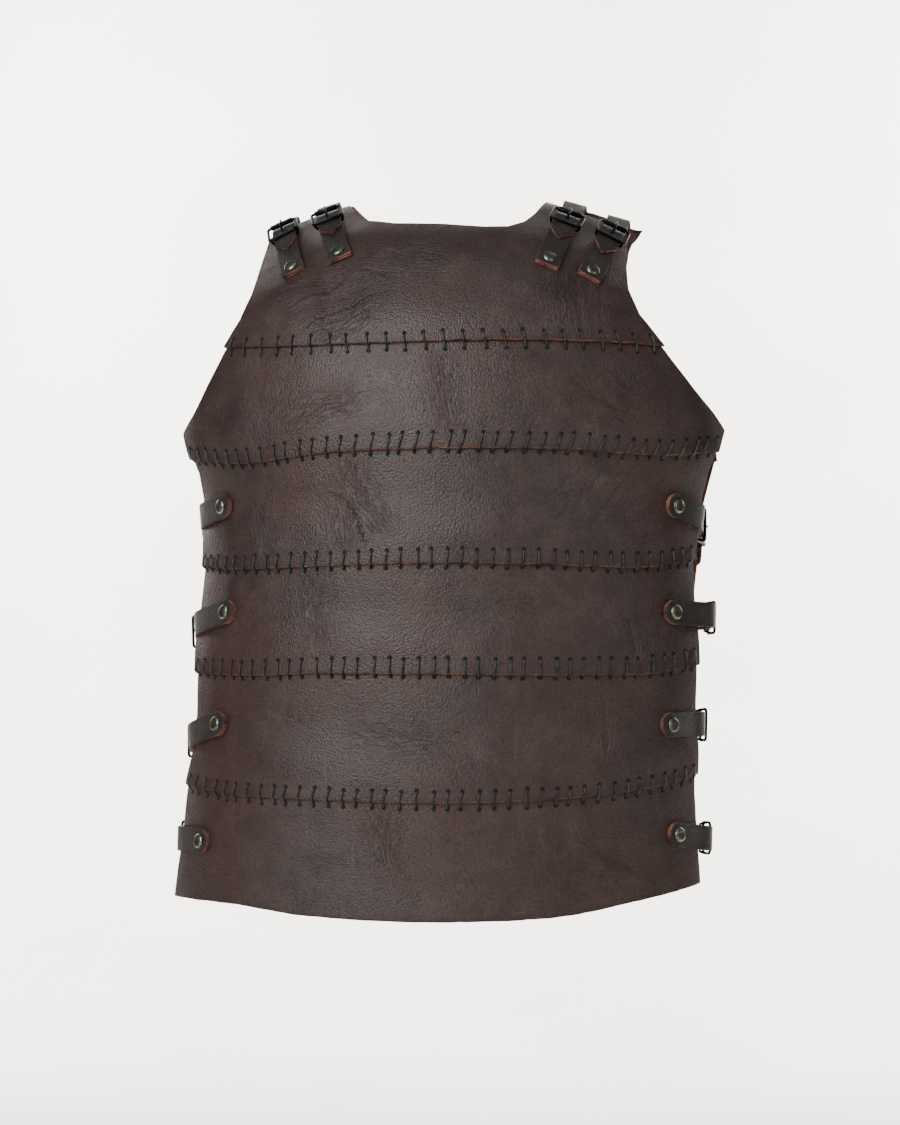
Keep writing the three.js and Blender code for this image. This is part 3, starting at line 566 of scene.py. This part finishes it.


# For each leather, the colour before the roughness darkens the burnished cut edges and, as painted shade,
# the grain's valleys.
band_leather = oiled_leather("oiled_cowhide_bands", ("302423", "3e2f2c", "4e3e3b"), "4a2a23", "1f1716", 0.44)
strap_leather = oiled_leather("oiled_cowhide_straps", ("23201e", "2f2a28", "3d3734"), "35292a", "1a1615",
                              0.54)
band_cut = cut_leather("raw_cut_edge_of_bands", "7f4b32", "5e3725", "261714")
strap_cut = cut_leather("raw_cut_edge_of_straps", "9a604c", "6f4335", "2c1a17")
flesh_side = flesh_leather()
cord_wax = waxed_cord()
hole_dark = punched_hole()
blackened_steel = aged_metal("blackened_steel", ("0c0e10", "1c2023"), 0.3, 0.2)
antique_nickel = aged_metal("antique_nickel_plate", ("565b50", "8f9382"), 0.24, 0.16)

# ---- making pieces


def select_only(piece):
    bpy.ops.object.select_all(action="DESELECT")
    bpy.context.view_layer.objects.active = piece
    piece.select_set(True)


def apply_modifier(piece, kind, **settings):
    select_only(piece)
    modifier = piece.modifiers.new(kind.lower(), kind)
    for name, value in settings.items():
        setattr(modifier, name, value)
    bpy.ops.object.modifier_apply(modifier=modifier.name)


def mark(piece, name, values):
    """Gives each point of a piece a number or, for values with a last axis of three, a vector."""
    vector = values.ndim == 3
    attribute = piece.data.attributes.new(name, "FLOAT_VECTOR" if vector else "FLOAT", "POINT")
    attribute.data.foreach_set("vector" if vector else "value", values.ravel())


def leather_sheet(name, points, marks, thickness, finishes, bevel):
    """A sheet of leather through rows of points on its outer face, with its thickness inward.
    Rows run along, columns across, and across x along points outward. The marks are for the finishes:
    rim is how far a point is from the cut edge, bare how free of dye that edge is, on the bands' lower
    edges also how free of painted shade, and fold says where the point is beside a crease."""
    rows, columns = points.shape[:2]
    bpy.ops.mesh.primitive_grid_add(x_subdivisions=columns - 1, y_subdivisions=rows - 1, size=2)
    piece = bpy.context.object
    piece.name = name
    piece.data.vertices.foreach_set("co", (points * MM).ravel())
    for mark_name, values in marks.items():
        mark(piece, mark_name, values)
    for finish in finishes:
        piece.data.materials.append(finish)
    piece.data.update()
    apply_modifier(piece, "SOLIDIFY", thickness=thickness * MM, offset=-1,
                   material_offset_rim=1, material_offset=2)
    apply_modifier(piece, "BEVEL", width=bevel * MM, segments=2, limit_method="ANGLE",
                   angle_limit=math.radians(55), material=1)
    smooth_below(piece, 40)
    return piece


def finish_piece(piece, node_names=()):
    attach(piece, "root")
    if node_names:
        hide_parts(*node_names)
    return piece


def tubes(name, runs, radius, finish, sides=2):
    """Round cords or wires through runs of points, each run with its own radius at each point."""
    curve = bpy.data.curves.new(name, "CURVE")
    curve.dimensions = "3D"
    curve.bevel_depth = radius * MM
    curve.bevel_resolution = sides
    curve.use_fill_caps = True
    for points, widths, joined in runs:
        spline = curve.splines.new("POLY")
        spline.points.add(len(points) - 1)
        for knot, point, width in zip(spline.points, points, widths):
            knot.co = (*(np.asarray(point) * MM), 1)
            knot.radius = width
        spline.use_cyclic_u = joined
        spline.use_smooth = True
    piece = bpy.data.objects.new(name, curve)
    bpy.context.collection.objects.link(piece)
    select_only(piece)
    bpy.ops.object.convert(target="MESH")
    piece = bpy.context.object
    piece.name = name
    piece.data.materials.clear()
    piece.data.materials.append(finish)
    return piece


def joined(name, pieces):
    """Several pieces as one."""
    bpy.ops.object.select_all(action="DESELECT")
    for piece in pieces:
        piece.select_set(True)
    bpy.context.view_layer.objects.active = pieces[0]
    bpy.ops.object.join()
    pieces[0].name = name
    return pieces[0]


def stamped(name, model, places):
    """Copies of a small model at several places, as one piece. Each copy has its own mesh."""
    copies = []
    for place in places:
        copy = model.copy()
        copy.data = model.data.copy()
        copy.data.transform(place)
        bpy.context.collection.objects.link(copy)
        copies.append(copy)
    return joined(name, copies)


def smooth_below(piece, degrees):
    """Smooth shading over all edges that turn less than this."""
    select_only(piece)
    bpy.ops.object.shade_smooth_by_angle(angle=math.radians(degrees))


# ---- bands


def band_point(side, band, u, level, wobble):
    """Level -1 to 0 is tucked under the band above, 0 to 1 shows, and 1 to 2 laps over the band below."""
    if level < 0:
        return dressed(side, *plain_place(side, u, lower_edge(band - 1, u) + level * LAP), WALL)
    last = band == BANDS - 1
    if level <= 1:
        bottom = lower_edge(band, u) + wobble * level**4 * last - (0 if last else LAP)
        place = (plain_place(side, u, mix(lower_edge(band - 1, u), bottom, level)) if band
                 else yoke_place(side, u, level))
        return dressed(side, *place, WALL + lift(band, level))
    down = lower_edge(band, u) - LAP * (2 - level) + wobble * (level - 1)
    return dressed(side, *plain_place(side, u, down), WALL + lift(band, 1))


def levels_of(band):
    """Levels of the rows of points down a band, about a grid step apart."""
    tuck = [] if band == 0 else list(np.linspace(-1, 0, TUCK_ROWS)[:-1])
    lap = [] if band == BANDS - 1 else list(np.linspace(1, 2, LAP_ROWS)[1:])
    return tuck + list(np.linspace(0, 1, round(BAND_HEIGHTS[band] / GRID_STEP))) + lap


def leather_band(side, band):
    """One band, the length and height of its cut in metres, and its area."""
    u = np.linspace(-1, 1, BAND_COLUMNS)
    wobble = np.array([0.55 * noise.noise(Vector((14 * v, band, FACING[side])))
                       + 0.25 * noise.noise(Vector((45 * v, band, 3 * FACING[side]))) for v in u])
    levels = levels_of(band)
    points = np.array([band_point(side, band, u, level, wobble) for level in levels])
    from_top = travelled(points)
    girth = np.linalg.norm(np.diff(points, axis=1), axis=-1).sum(axis=1).mean()
    rim = np.minimum((1 - np.abs(u)) * girth / 2, from_top[-1] - from_top)
    if band == 0:
        rim = np.minimum(rim, from_top)
    height = from_top[-1].mean()
    down_edges, across_edges = points[1:, :-1] - points[:-1, :-1], points[:-1, 1:] - points[:-1, :-1]
    quads = np.linalg.norm(np.cross(down_edges, across_edges), axis=-1)
    at_lower_edge = ease(from_top[-1] - from_top, 8, 2)
    # The lower cut edges show less raw leather toward the left and along the hem: partly dye, partly painted
    # shade.
    bareness_with_painted_shade = mix(0.45, 1, ease(u, -1, 0.1)) * (0.25 if band == BANDS - 1 else 1)
    bare = np.maximum(EDGE_BARE[side], at_lower_edge * bareness_with_painted_shade)
    fold = creased(side, points)[1]
    turned = slice(None, None, -1 if side == "back" else 1)
    points, rim, bare, fold = (grid[::-1, turned] for grid in (points, rim, bare, fold))
    piece = leather_sheet(f"leather_{side}_band_{band + 1}", points, dict(rim=rim, bare=bare, fold=fold),
                          WALL, (band_leather, band_cut, flesh_side), bevel=1.2)
    finish_piece(piece, [f"{side}_band_{band + 1}"])
    return piece, (girth * MM, height * MM), quads.sum() * MM * MM


# ---- lacing


def lap_points(side, seam, rng):
    """Where each stitch of a lap goes in and out: its places across, its holes and its lean."""
    row = {name: column[seam] for name, column in LACING.items()}
    u = np.linspace(-1, 1, 400)
    edge = off_body(side, *plain_place(side, u, lower_edge(seam, u)), WALL)
    far = travelled(edge)
    count = int(row["stitches"])
    at = np.linspace(LACING_INSET, far[-1] - LACING_INSET, count)
    at[1:-1] += rng.uniform(-LACING_STRAY["at"], LACING_STRAY["at"], count - 2)
    places = np.interp(at, far, u)
    per_mm = np.gradient(u, far)[np.searchsorted(far, at)]
    above = np.interp(places, [-1, 0, 1], [row["above_left"], row["above_middle"], row["above_right"]])
    lean = np.interp(places, [-1, -0.3, 1], [row["lean_left"], row["lean_middle"], row["lean_right"]])
    above, below, lean = (values + rng.uniform(-LACING_STRAY[name], LACING_STRAY[name], count)
                          for name, values in (("above", above), ("below", row["below"]), ("lean", lean)))
    straight_down = plain_place(side, places, lower_edge(seam, places) - above)[0]
    left, right = edge_angles(side, lower_edge(seam, places) + below)
    return places, 2 * (straight_down - left) / (right - left) - 1 + lean * per_mm, above, below


def laced_point(side, seam, u, beyond_edge, out):
    """A place on the leather at a lap, this far beyond the upper band's cut edge, or above it if under 0."""
    down = lower_edge(seam, u) + beyond_edge
    on_upper = 1 if beyond_edge < 0.2 else 0
    rise = WALL + on_upper * (WALL + GAP) + out
    return dressed(side, *plain_place(side, np.array([u]), np.array([down])), [rise])[0]


def lacing(side, seam):
    """A row of whip stitches, each over the cut edge from an upper hole to a lower one, and its holes."""
    rng = np.random.default_rng(100 * seam + (7 if side == "front" else 8))
    runs, holes = [], []
    for top_u, low_u, above, below in zip(*lap_points(side, seam, rng)):
        edge = above / (above + below)
        # Places from the upper hole, 0, to the lower one, 1, and heights over the leather.
        run = [laced_point(side, seam, mix(top_u, low_u, share), mix(-above, below, share), out)
               for share, out in (
                   (0, -CORD_DEPTH), (0.01, 0.2), (0.12 * edge, 1.0), (0.5 * edge, 1.25),
                   (0.9 * edge, 1.15), (0.99 * edge, 0.75), (mix(edge, 1, 0.35), 2.2),
                   (mix(edge, 1, 0.75), 1.0), (1, 0.1), (1.01, -CORD_DEPTH))]
        runs.append((run, [1.0] * len(run), False))
        holes.append((top_u, -above - 0.7))
        holes.append((low_u, below + 0.5))
    cord = finish_piece(tubes(f"lacing_{side}_{seam + 1}", runs, CORD_RADIUS, cord_wax))
    cord.data.polygons.foreach_set("use_smooth", [True] * len(cord.data.polygons))

    places = []
    for u, beyond in holes:
        seat = Vector(laced_point(side, seam, u, beyond, HOLE_PROUD)) * MM
        top = Vector(laced_point(side, seam, u, beyond, HOLE_PROUD + 1)) * MM
        turn = (top - seat).to_track_quat("Z", "Y").to_matrix().to_4x4()
        places.append(Matrix.Translation(seat) @ turn)
    punched = finish_piece(stamped(f"punched_holes_{side}_{seam + 1}", hole_model, places))
    return cord, punched


def stepped_disc(vertices, radius, rim, steps, finish):
    """A round face that rises inward in steps, each a width and a rise, over a rim of some height."""
    bpy.ops.mesh.primitive_circle_add(vertices=vertices, radius=radius * MM, fill_type="NGON")
    disc = bpy.context.object
    bpy.ops.object.mode_set(mode="EDIT")
    bpy.ops.mesh.select_all(action="SELECT")
    if rim:
        bpy.ops.mesh.extrude_region_move(TRANSFORM_OT_translate={"value": (0, 0, rim * MM)})
    for inward, rise in steps:
        bpy.ops.mesh.inset(thickness=inward * MM, depth=0)
        bpy.ops.transform.translate(value=(0, 0, rise * MM))
    if rim:
        bpy.ops.mesh.poke()
    bpy.ops.object.mode_set(mode="OBJECT")
    disc.data.materials.append(finish)
    return disc


# ---- routes of the closures


def on_face(side, angle, down):
    """A point of the panels' outer faces."""
    left, right = edge_angles(side, down)
    u = float(np.clip((2 * (angle - left)) / (right - left) - 1, -1, 1))
    lower = [float(lower_edge(band, u)) for band in range(BANDS)]
    band = next((k for k in range(BANDS) if down < lower[k]), BANDS - 1)
    if band == 0:
        return off_body(side, angle, down, WALL)
    start = lower[band - 1]
    share = np.clip(((down - start) / (lower[band] - LAP - start) - LIFT_FROM) / (1 - LIFT_FROM), 0, 1)
    return off_body(side, angle, down, WALL + (0 if band == BANDS - 1 else (WALL + GAP) * share))


def stop_on(side, x, down):
    angle = float(angle_at(side, x, down))
    out = way_out(on_face, side, angle, down, 0.02, 8)
    return on_face(side, angle, down) + out * SEAT, out


def along_face(side, start, end, count):
    """Stops on a panel's outer face, evenly spaced between two places, each (x, down)."""
    start, end = np.array(start), np.array(end)
    return [stop_on(side, *mix(start, end, k / (count - 1))) for k in range(count)]


def through(points, count=60):
    """A centripetal Catmull-Rom curve through points, with this many steps between each two."""
    points = np.array(points)
    points = np.vstack([2 * points[0] - points[1], points, 2 * points[-1] - points[-2]])
    t = np.linspace(0, 1, count, endpoint=False)[:, None]
    made = []
    for p0, p1, p2, p3 in zip(points, points[1:], points[2:], points[3:]):
        d0, d1, d2 = (max(np.linalg.norm(b - a) ** 0.5, 1e-4) for a, b in ((p0, p1), (p1, p2), (p2, p3)))
        m1 = ((p1 - p0) / d0 - (p2 - p0) / (d0 + d1) + (p2 - p1) / d1) * d1
        m2 = ((p2 - p1) / d1 - (p3 - p1) / (d1 + d2) + (p3 - p2) / d2) * d1
        made.append(p1 + m1 * t + (3 * (p2 - p1) - 2 * m1 - m2) * t**2 + (2 * (p1 - p2) + m1 + m2) * t**3)
    return np.vstack([*made, points[-2]])


class Route:
    """The way of a closure over the panels, with a frame at any distance along it."""

    def __init__(self, stops):
        self.points = through([point for point, _ in stops])
        self.outs = through([out for _, out in stops])
        self.far = travelled(self.points)
        self.length = self.far[-1]

    def at(self, values, distance):
        return np.stack([np.interp(distance, self.far, values[:, k]) for k in range(3)], axis=-1)

    def frame(self, distance):
        """Point, way along, way across and way out."""
        distance = np.clip(np.asarray(distance, dtype=float), 0, self.length)
        ahead, behind = np.minimum(distance + 0.5, self.length), np.maximum(distance - 0.5, 0)
        along = unit(self.at(self.points, ahead) - self.at(self.points, behind))
        out = self.at(self.outs, distance)
        out = unit(out - along * (out * along).sum(axis=-1, keepdims=True))
        return self.at(self.points, distance), along, np.cross(along, out), out

    def place(self, distance, across, out):
        point, _, across_way, out_way = self.frame(distance)
        across, out = np.asarray(across, dtype=float)[..., None], np.asarray(out, dtype=float)[..., None]
        return point + across_way * across + out_way * out


def side_route(hand, across, down, fall, out, behind):
    low, rivet = down + fall, (hand * across, down)
    back_down = low + STRAP_FALL
    front_edge, back_edge = (
        float(np.interp(at, EDGES[side]["down"], EDGES[side]["left" if hand < 0 else "right"]))
        for side, at in (("front", low), ("back", back_down)))
    front = along_face("front", (rivet[0] - hand * TAB_BEFORE_RIVET, down - 0.15 * fall), rivet, 3)
    edge_point, edge_out = stop_on("front", front_edge, low - 0.3 * fall)
    back = along_face("back", (back_edge, back_down), (back_edge - hand * STRAP_ON_BACK, back_down), 4)
    bend = np.array([front_edge + hand * out, edge_point[1] + behind, -low])
    bend_out = unit(np.array([hand, -0.35, 0]))
    sideways = np.array([hand, 0.0, 0.0])
    on_edge = edge_point + edge_out * EDGE_RISE
    over = mix(mix(front[2][0], bend, STIFF_SHARE), on_edge, 0.8 if out < CLOSE_BEND else 0.1)
    over_out = unit(mix(front[2][1], bend_out, 0.5))
    beyond = mix(bend, back[0][0], BUCKLE_SHARE) - sideways * STRAP_SINK
    return Route([*front, (over, over_out), (bend, bend_out), (beyond, sideways), *back])


def shoulder_route(hand, across, down, ridge):
    ridge_down = float(BODY["down"][0] + shoulder_drop(ridge, 0))

    def x(share):
        return hand * mix(across, ridge, share)

    front = along_face("front", (x(-0.12), down + TAB_BELOW_RIVET), (x(0.88), ridge_down + BEFORE_RIDGE),
                       9)
    top = np.array([x(1), 0, WALL + RIDGE_CLEAR - ridge_down]), unit(np.array([hand * 0.3, 0, 1]))
    back = along_face("back", (x(0.96), ridge_down + BEHIND_RIDGE),
                      (x(0.7), ridge_down + END_BEHIND_RIDGE), 5)
    return Route([*front, top, *back])


def layout(tab_length, tip_back, rivet_at, round_end, roller_beyond):
    """Distances along a closure, from the riveted end of its tab."""
    return dict(tab=tab_length, keeper=tab_length - KEEPER_BEFORE, hinge=tab_length - HINGE_BEFORE,
                roller=tab_length + roller_beyond, tip=tab_length - tip_back, rivet=rivet_at,
                round_end=round_end)


# ---- tabs and straps


def tab_top(plan, distance):
    return GAP + TAB_LEATHER + FOLD_RISE * ease(distance, plan["hinge"] - FOLD_FROM, plan["hinge"] - FOLD_TO)


def strap_base(plan, distance):
    """The strap lies on the tab and its fold, passes under the roller and comes down to the panel."""
    on_fold = tab_top(plan, plan["tab"]) + STRAP_OVER_TAB
    on_tab = tab_top(plan, distance) + STRAP_OVER_TAB
    past = mix(on_fold, GAP, ease(distance, plan["tab"], plan["roller"] + STRAP_REACHES_PANEL))
    return np.where(distance < plan["tab"], on_tab, past)


def folded_tab(name, route, plan, seed):
    """One strip of leather, folded round the hinge bar."""
    fold = float(tab_top(plan, plan["hinge"])) - BAR_HEIGHT
    flat = np.linspace(TAB_START, plan["hinge"], 46)
    turn = np.linspace(0, math.pi, 9)[1:-1]
    along = np.concatenate([flat, plan["hinge"] + fold * np.sin(turn), flat[::-1]])
    out = np.concatenate([tab_top(plan, flat), BAR_HEIGHT + fold * np.cos(turn), 0 * flat + GAP])
    half = TAB_WIDTH / 2
    if plan["round_end"]:
        widths = np.sqrt(half**2 - np.maximum(half - along, 0) ** 2)
        ragged = 0 * ACROSS_STRAP
    else:
        widths = 0 * along + half
        ragged = np.array([0.8 * noise.noise(Vector((3 * v, seed, 0))) for v in ACROSS_STRAP])
    near_end = np.clip(1 - along / 3, 0, 1)[:, None]
    return strap_sheet(name, route, along, near_end * ragged, widths, out, along,
                       0.2 + 0.8 * ease(along, 14, 7), TAB_LAYER, bevel=0.4)


def pointed_strap(name, route, plan):
    start, end = plan["tip"], route.length
    along = np.linspace(start, end, round((end - start) / STRAP_STEP))
    widths = mix(TIP_WIDTH, STRAP_WIDTH, np.clip((along - start) / TIP_LENGTH, 0, 1)) / 2
    return strap_sheet(name, route, along, 0, widths, strap_base(plan, along) + STRAP_LEATHER,
                       np.minimum(along - start, end - along), 0.4 + 0.6 * ease(along - start, 22, 12),
                       STRAP_LEATHER, bevel=0.85)


def strap_sheet(name, route, along, ragged, widths, out, from_end, bare, thickness, bevel):
    """A strip of strap leather along a route: half widths, heights, distances from its cut ends and
    how bare of dye its edges are, all row by row."""
    along, widths, out, from_end, bare = (row[:, None] for row in (along, widths, out, from_end, bare))
    across = ACROSS_STRAP
    points = route.place(along + ragged + 0 * across, across * widths, out + 0 * across)
    rim = np.minimum((1 - np.abs(across)) * widths, from_end)
    return leather_sheet(name, points, dict(rim=rim, bare=bare + 0 * across), thickness,
                         (strap_leather, strap_cut, flesh_side), bevel)


# ---- buckles


def rounded_frame(plan, low, high):
    """Knots round the frame from the keeper bar to the roller bar: along, across and height."""
    knots = []
    for at, height, hand, inward in ((plan["keeper"], low, 1, 1), (plan["roller"], high, 1, -1),
                                     (plan["roller"], high, -1, -1), (plan["keeper"], low, -1, 1)):
        for turn in np.linspace(0, math.pi / 2, 5)[::hand * inward]:
            knots.append((at + inward * FRAME_CORNER * (1 - math.cos(turn)),
                          hand * (FRAME_HALF_WIDTH - FRAME_CORNER * (1 - math.sin(turn))), height))
    return knots


def buckle(name, route, plan):
    """Frame with its hinge bar, prong, the prong's eye and roller, as one piece."""
    hinge, roller = plan["hinge"], plan["roller"]
    low = float(strap_base(plan, plan["keeper"])) + STRAP_LEATHER + BAR_CLEAR + BAR_RADIUS
    high = float(strap_base(plan, roller)) + STRAP_LEATHER + BAR_CLEAR + ROLLER_RADIUS
    top = high + ROLLER_RADIUS + 0.55 * PRONG_RADIUS
    rail = (low + high) / 2
    half_bar = [(FRAME_HALF_WIDTH, rail), (FRAME_HALF_WIDTH - 0.7, mix(rail, BAR_HEIGHT, 0.6)),
                (FRAME_HALF_WIDTH - 1.6, BAR_HEIGHT)]
    bar = [(-across, out) for across, out in half_bar] + half_bar[::-1]
    # Distance along, height and width of the prong, from the hinge bar to its tip.
    prong = [(hinge - 0.4, BAR_HEIGHT + 0.2, 1.0), (hinge + 1.2, BAR_HEIGHT + 2.0, 1.0),
             (hinge + 3.6, mix(BAR_HEIGHT, top, 0.55), 1.0), (hinge + 6.8, mix(BAR_HEIGHT, top, 0.88), 1.0),
             (roller - 1.8, top, 0.95), (roller + 1.2, top, 0.85),
             (roller + 3.6, top - 0.5, 0.7), (roller + 4.6, top - 0.9, 0.55)]

    def wires(part, radius, sides, *runs):
        placed = [([route.place(*knot) for knot in knots], widths, closed) for knots, widths, closed in runs]
        return tubes(name + part, placed, radius, blackened_steel, sides)

    ring = rounded_frame(plan, low, high)
    eye = [(hinge + EYE_RADIUS * math.cos(t), 0, BAR_HEIGHT + EYE_RADIUS * math.sin(t))
           for t in np.linspace(0, 2 * math.pi, 13)[:-1]]
    piece = joined(name, [
        wires("", BAR_RADIUS, 4, (ring, [1] * len(ring), True),
              ([(hinge, *knot) for knot in bar], [1] * len(bar), False)),
        wires("_prong", PRONG_RADIUS, 3, ([(at, 0, out) for at, out, _ in prong],
                                          [width for _, _, width in prong], False)),
        wires("_eye", EYE_WIRE, 2, (eye, [1] * len(eye), True)),
        rolled_bar(name + "_roller", route, roller, high)])
    smooth_below(piece, 42)
    return piece


def rolled_bar(name, route, at, height):
    """The roller: a sheet rolled into a tube round the frame's far bar, with softened ends."""
    bpy.ops.mesh.primitive_cylinder_add(vertices=20, radius=ROLLER_RADIUS * MM, depth=TAB_WIDTH * MM)
    roller = bpy.context.object
    roller.name = name
    apply_modifier(roller, "BEVEL", width=0.4 * MM, segments=2, limit_method="ANGLE")
    point, along, across, out = route.frame(at)
    seat = Vector((point + out * height) * MM)
    turn = Matrix([along, out, -across]).transposed().to_4x4()
    roller.data.transform(Matrix.Translation(seat) @ turn)
    roller.data.materials.append(blackened_steel)
    return roller


# ---- rivets

# Steps of a double-cap rivet's domed cap, inward from its edge: width of the step and its rise.
RIVET_STEPS = table("inward rise", [(0.5, 0.75), (0.8, 0.62), (0.9, 0.3), (0.8, -0.12), (1.1, -0.22)])


def rivet_cap():
    """A domed cap with a bright raised ring and a slightly sunken middle."""
    cap = stepped_disc(32, RIVET_RADIUS - 0.1, 0.5, zip(*RIVET_STEPS.values()), antique_nickel)
    apply_modifier(cap, "SUBSURF", levels=1, render_levels=1)
    smooth_below(cap, 50)
    return cap


def cap_place(route, distance, height):
    point, along, across, out = route.frame(distance)
    turn = Matrix([across, -along, out]).transposed().to_4x4()
    return Matrix.Translation(Vector((point + out * height) * MM)) @ turn


# ---- putting the cuirass together

# Holes are flat discs of painted shadow laid over the leather.
hole_model = stepped_disc(10, HOLE_RADIUS, 0, [(0.4, 0.1)], hole_dark)
cap_model = rivet_cap()

for side in ("front", "back"):
    for seam in range(BANDS - 1):
        lacing(side, seam)

for side in ("front", "back"):
    for band in range(BANDS):
        piece, flat, area = leather_band(side, band)

SIDE_LAYOUT = layout(88, 16, 10.5, True, 8)
SHOULDER_LAYOUT = layout(68, 32, 8.8, False, 14)
closures = [(name, side_route(*sizes), SIDE_LAYOUT) for name, *sizes in SIDE_CLOSURES]
closures += [(name, shoulder_route(*sizes), SHOULDER_LAYOUT) for name, *sizes in SHOULDER_CLOSURES]

for seed, (name, route, plan) in enumerate(closures):
    finish_piece(folded_tab(f"leather_tab_{name}", route, plan, seed), [f"tab_{name}"])
    finish_piece(pointed_strap(f"leather_strap_{name}", route, plan), [f"strap_{name}"])
    on_strap = float(strap_base(plan, plan["hinge"])) + STRAP_LEATHER + HOLE_PROUD
    hole_place = cap_place(route, plan["hinge"] + PRONG_HOLE_AT, on_strap)
    # The prong's hole in the strap: a disc of painted shadow.
    finish_piece(stamped(f"prong_hole_{name}", hole_model, [hole_place]))
    finish_piece(buckle(f"steel_buckle_{name}", route, plan), [f"buckle_{name}"])
    caps = [cap_place(route, plan["rivet"], 2 * GAP + TAB_LEATHER),
            cap_place(route, route.length - BACK_RIVET_AT, GAP + STRAP_LEATHER)]
    finish_piece(stamped(f"rivet_caps_{name}", cap_model, caps), [f"rivet_{name}"])

for model in (hole_model, cap_model):
    bpy.data.objects.remove(model)

# ---- floor, light and camera


def studio_sweep():
    """A pale paper sweep: a floor that curves up into a wall behind the cuirass."""
    finish, tree, spot = new_finish("pale_backdrop_paper")
    tooth = cloud(tree, spot, size=300)
    shade(tree, {"Base Color": ramp(tree, tooth, [(0.3, "ece8e2"), (0.7, "f2eee9")]), "Roughness": 0.9})
    turns = np.linspace(0, math.pi / 2, 15)
    depths = [SWEEP_FRONT, *(SWEEP_WALL - SWEEP_BEND * (1 - np.sin(turns))), SWEEP_WALL]
    heights = [FLOOR, *(FLOOR + SWEEP_BEND * (1 - np.cos(turns))), SWEEP_TOP]
    bpy.ops.mesh.primitive_grid_add(x_subdivisions=8, y_subdivisions=len(depths) - 1, size=2)
    sweep = bpy.context.object
    sweep.name = "paper_sweep"
    across = np.linspace(-SWEEP_HALF_WIDTH, SWEEP_HALF_WIDTH, 9)
    points = [(x, depth, height) for depth, height in zip(depths, heights) for x in across]
    sweep.data.vertices.foreach_set("co", np.array(points).ravel())
    sweep.data.polygons.foreach_set("use_smooth", [True] * len(sweep.data.polygons))
    sweep.data.materials.append(finish)


def stand(name, data, target, azimuth, elevation, distance):
    """Stands a lamp or camera so that it looks at a target from an azimuth and an elevation."""
    turn, rise = math.radians(azimuth), math.radians(elevation)
    way = Vector((math.sin(turn) * math.cos(rise), -math.cos(turn) * math.cos(rise), math.sin(rise)))
    thing = bpy.data.objects.new(name, data)
    thing.location = target + way * distance
    thing.rotation_euler = (-way).to_track_quat("-Z", "Y").to_euler()
    bpy.context.collection.objects.link(thing)
    return thing


def soft_light(name, target, azimuth, elevation, distance, size, power):
    lamp = bpy.data.lights.new(name, "AREA")
    lamp.shape = "RECTANGLE"
    lamp.size, lamp.size_y = size
    lamp.energy = power
    stand(name, lamp, target, azimuth, elevation, distance)


# The studio, in metres.
FLOOR = -0.98
SWEEP_FRONT, SWEEP_WALL, SWEEP_BEND, SWEEP_TOP, SWEEP_HALF_WIDTH = -3.5, 2.3, 1.0, 2.2, 2.6
MIDDLE = Vector((0, 0, -0.309))             # of the cuirass
BACKDROP = Vector((0, SWEEP_WALL, -0.1))
studio_sweep()
soft_light("key_light", MIDDLE, -24, 22, 2.2, (1.0, 1.6), 44)
soft_light("fill_light", MIDDLE, 46, 14, 2.4, (0.5, 1.4), 7)
soft_light("top_light", MIDDLE, 6, 66, 2.2, (1.6, 1.2), 5)
soft_light("backdrop_light_left", BACKDROP, -48, 20, 1.7, (0.8, 1.6), 120)
soft_light("backdrop_light_right", BACKDROP, 48, 20, 1.7, (0.8, 1.6), 120)

world = bpy.data.worlds.new("studio")
world.use_nodes = True
feed(world.node_tree, world.node_tree.nodes["Background"], {"Color": colour("f5f1ec"), "Strength": 0.15})
bpy.context.scene.world = world

lens = bpy.data.cameras.new("camera")
lens.lens = 74.4
bpy.context.scene.camera = stand("camera", lens, MIDDLE, 4.5, -1.2, 2.0)
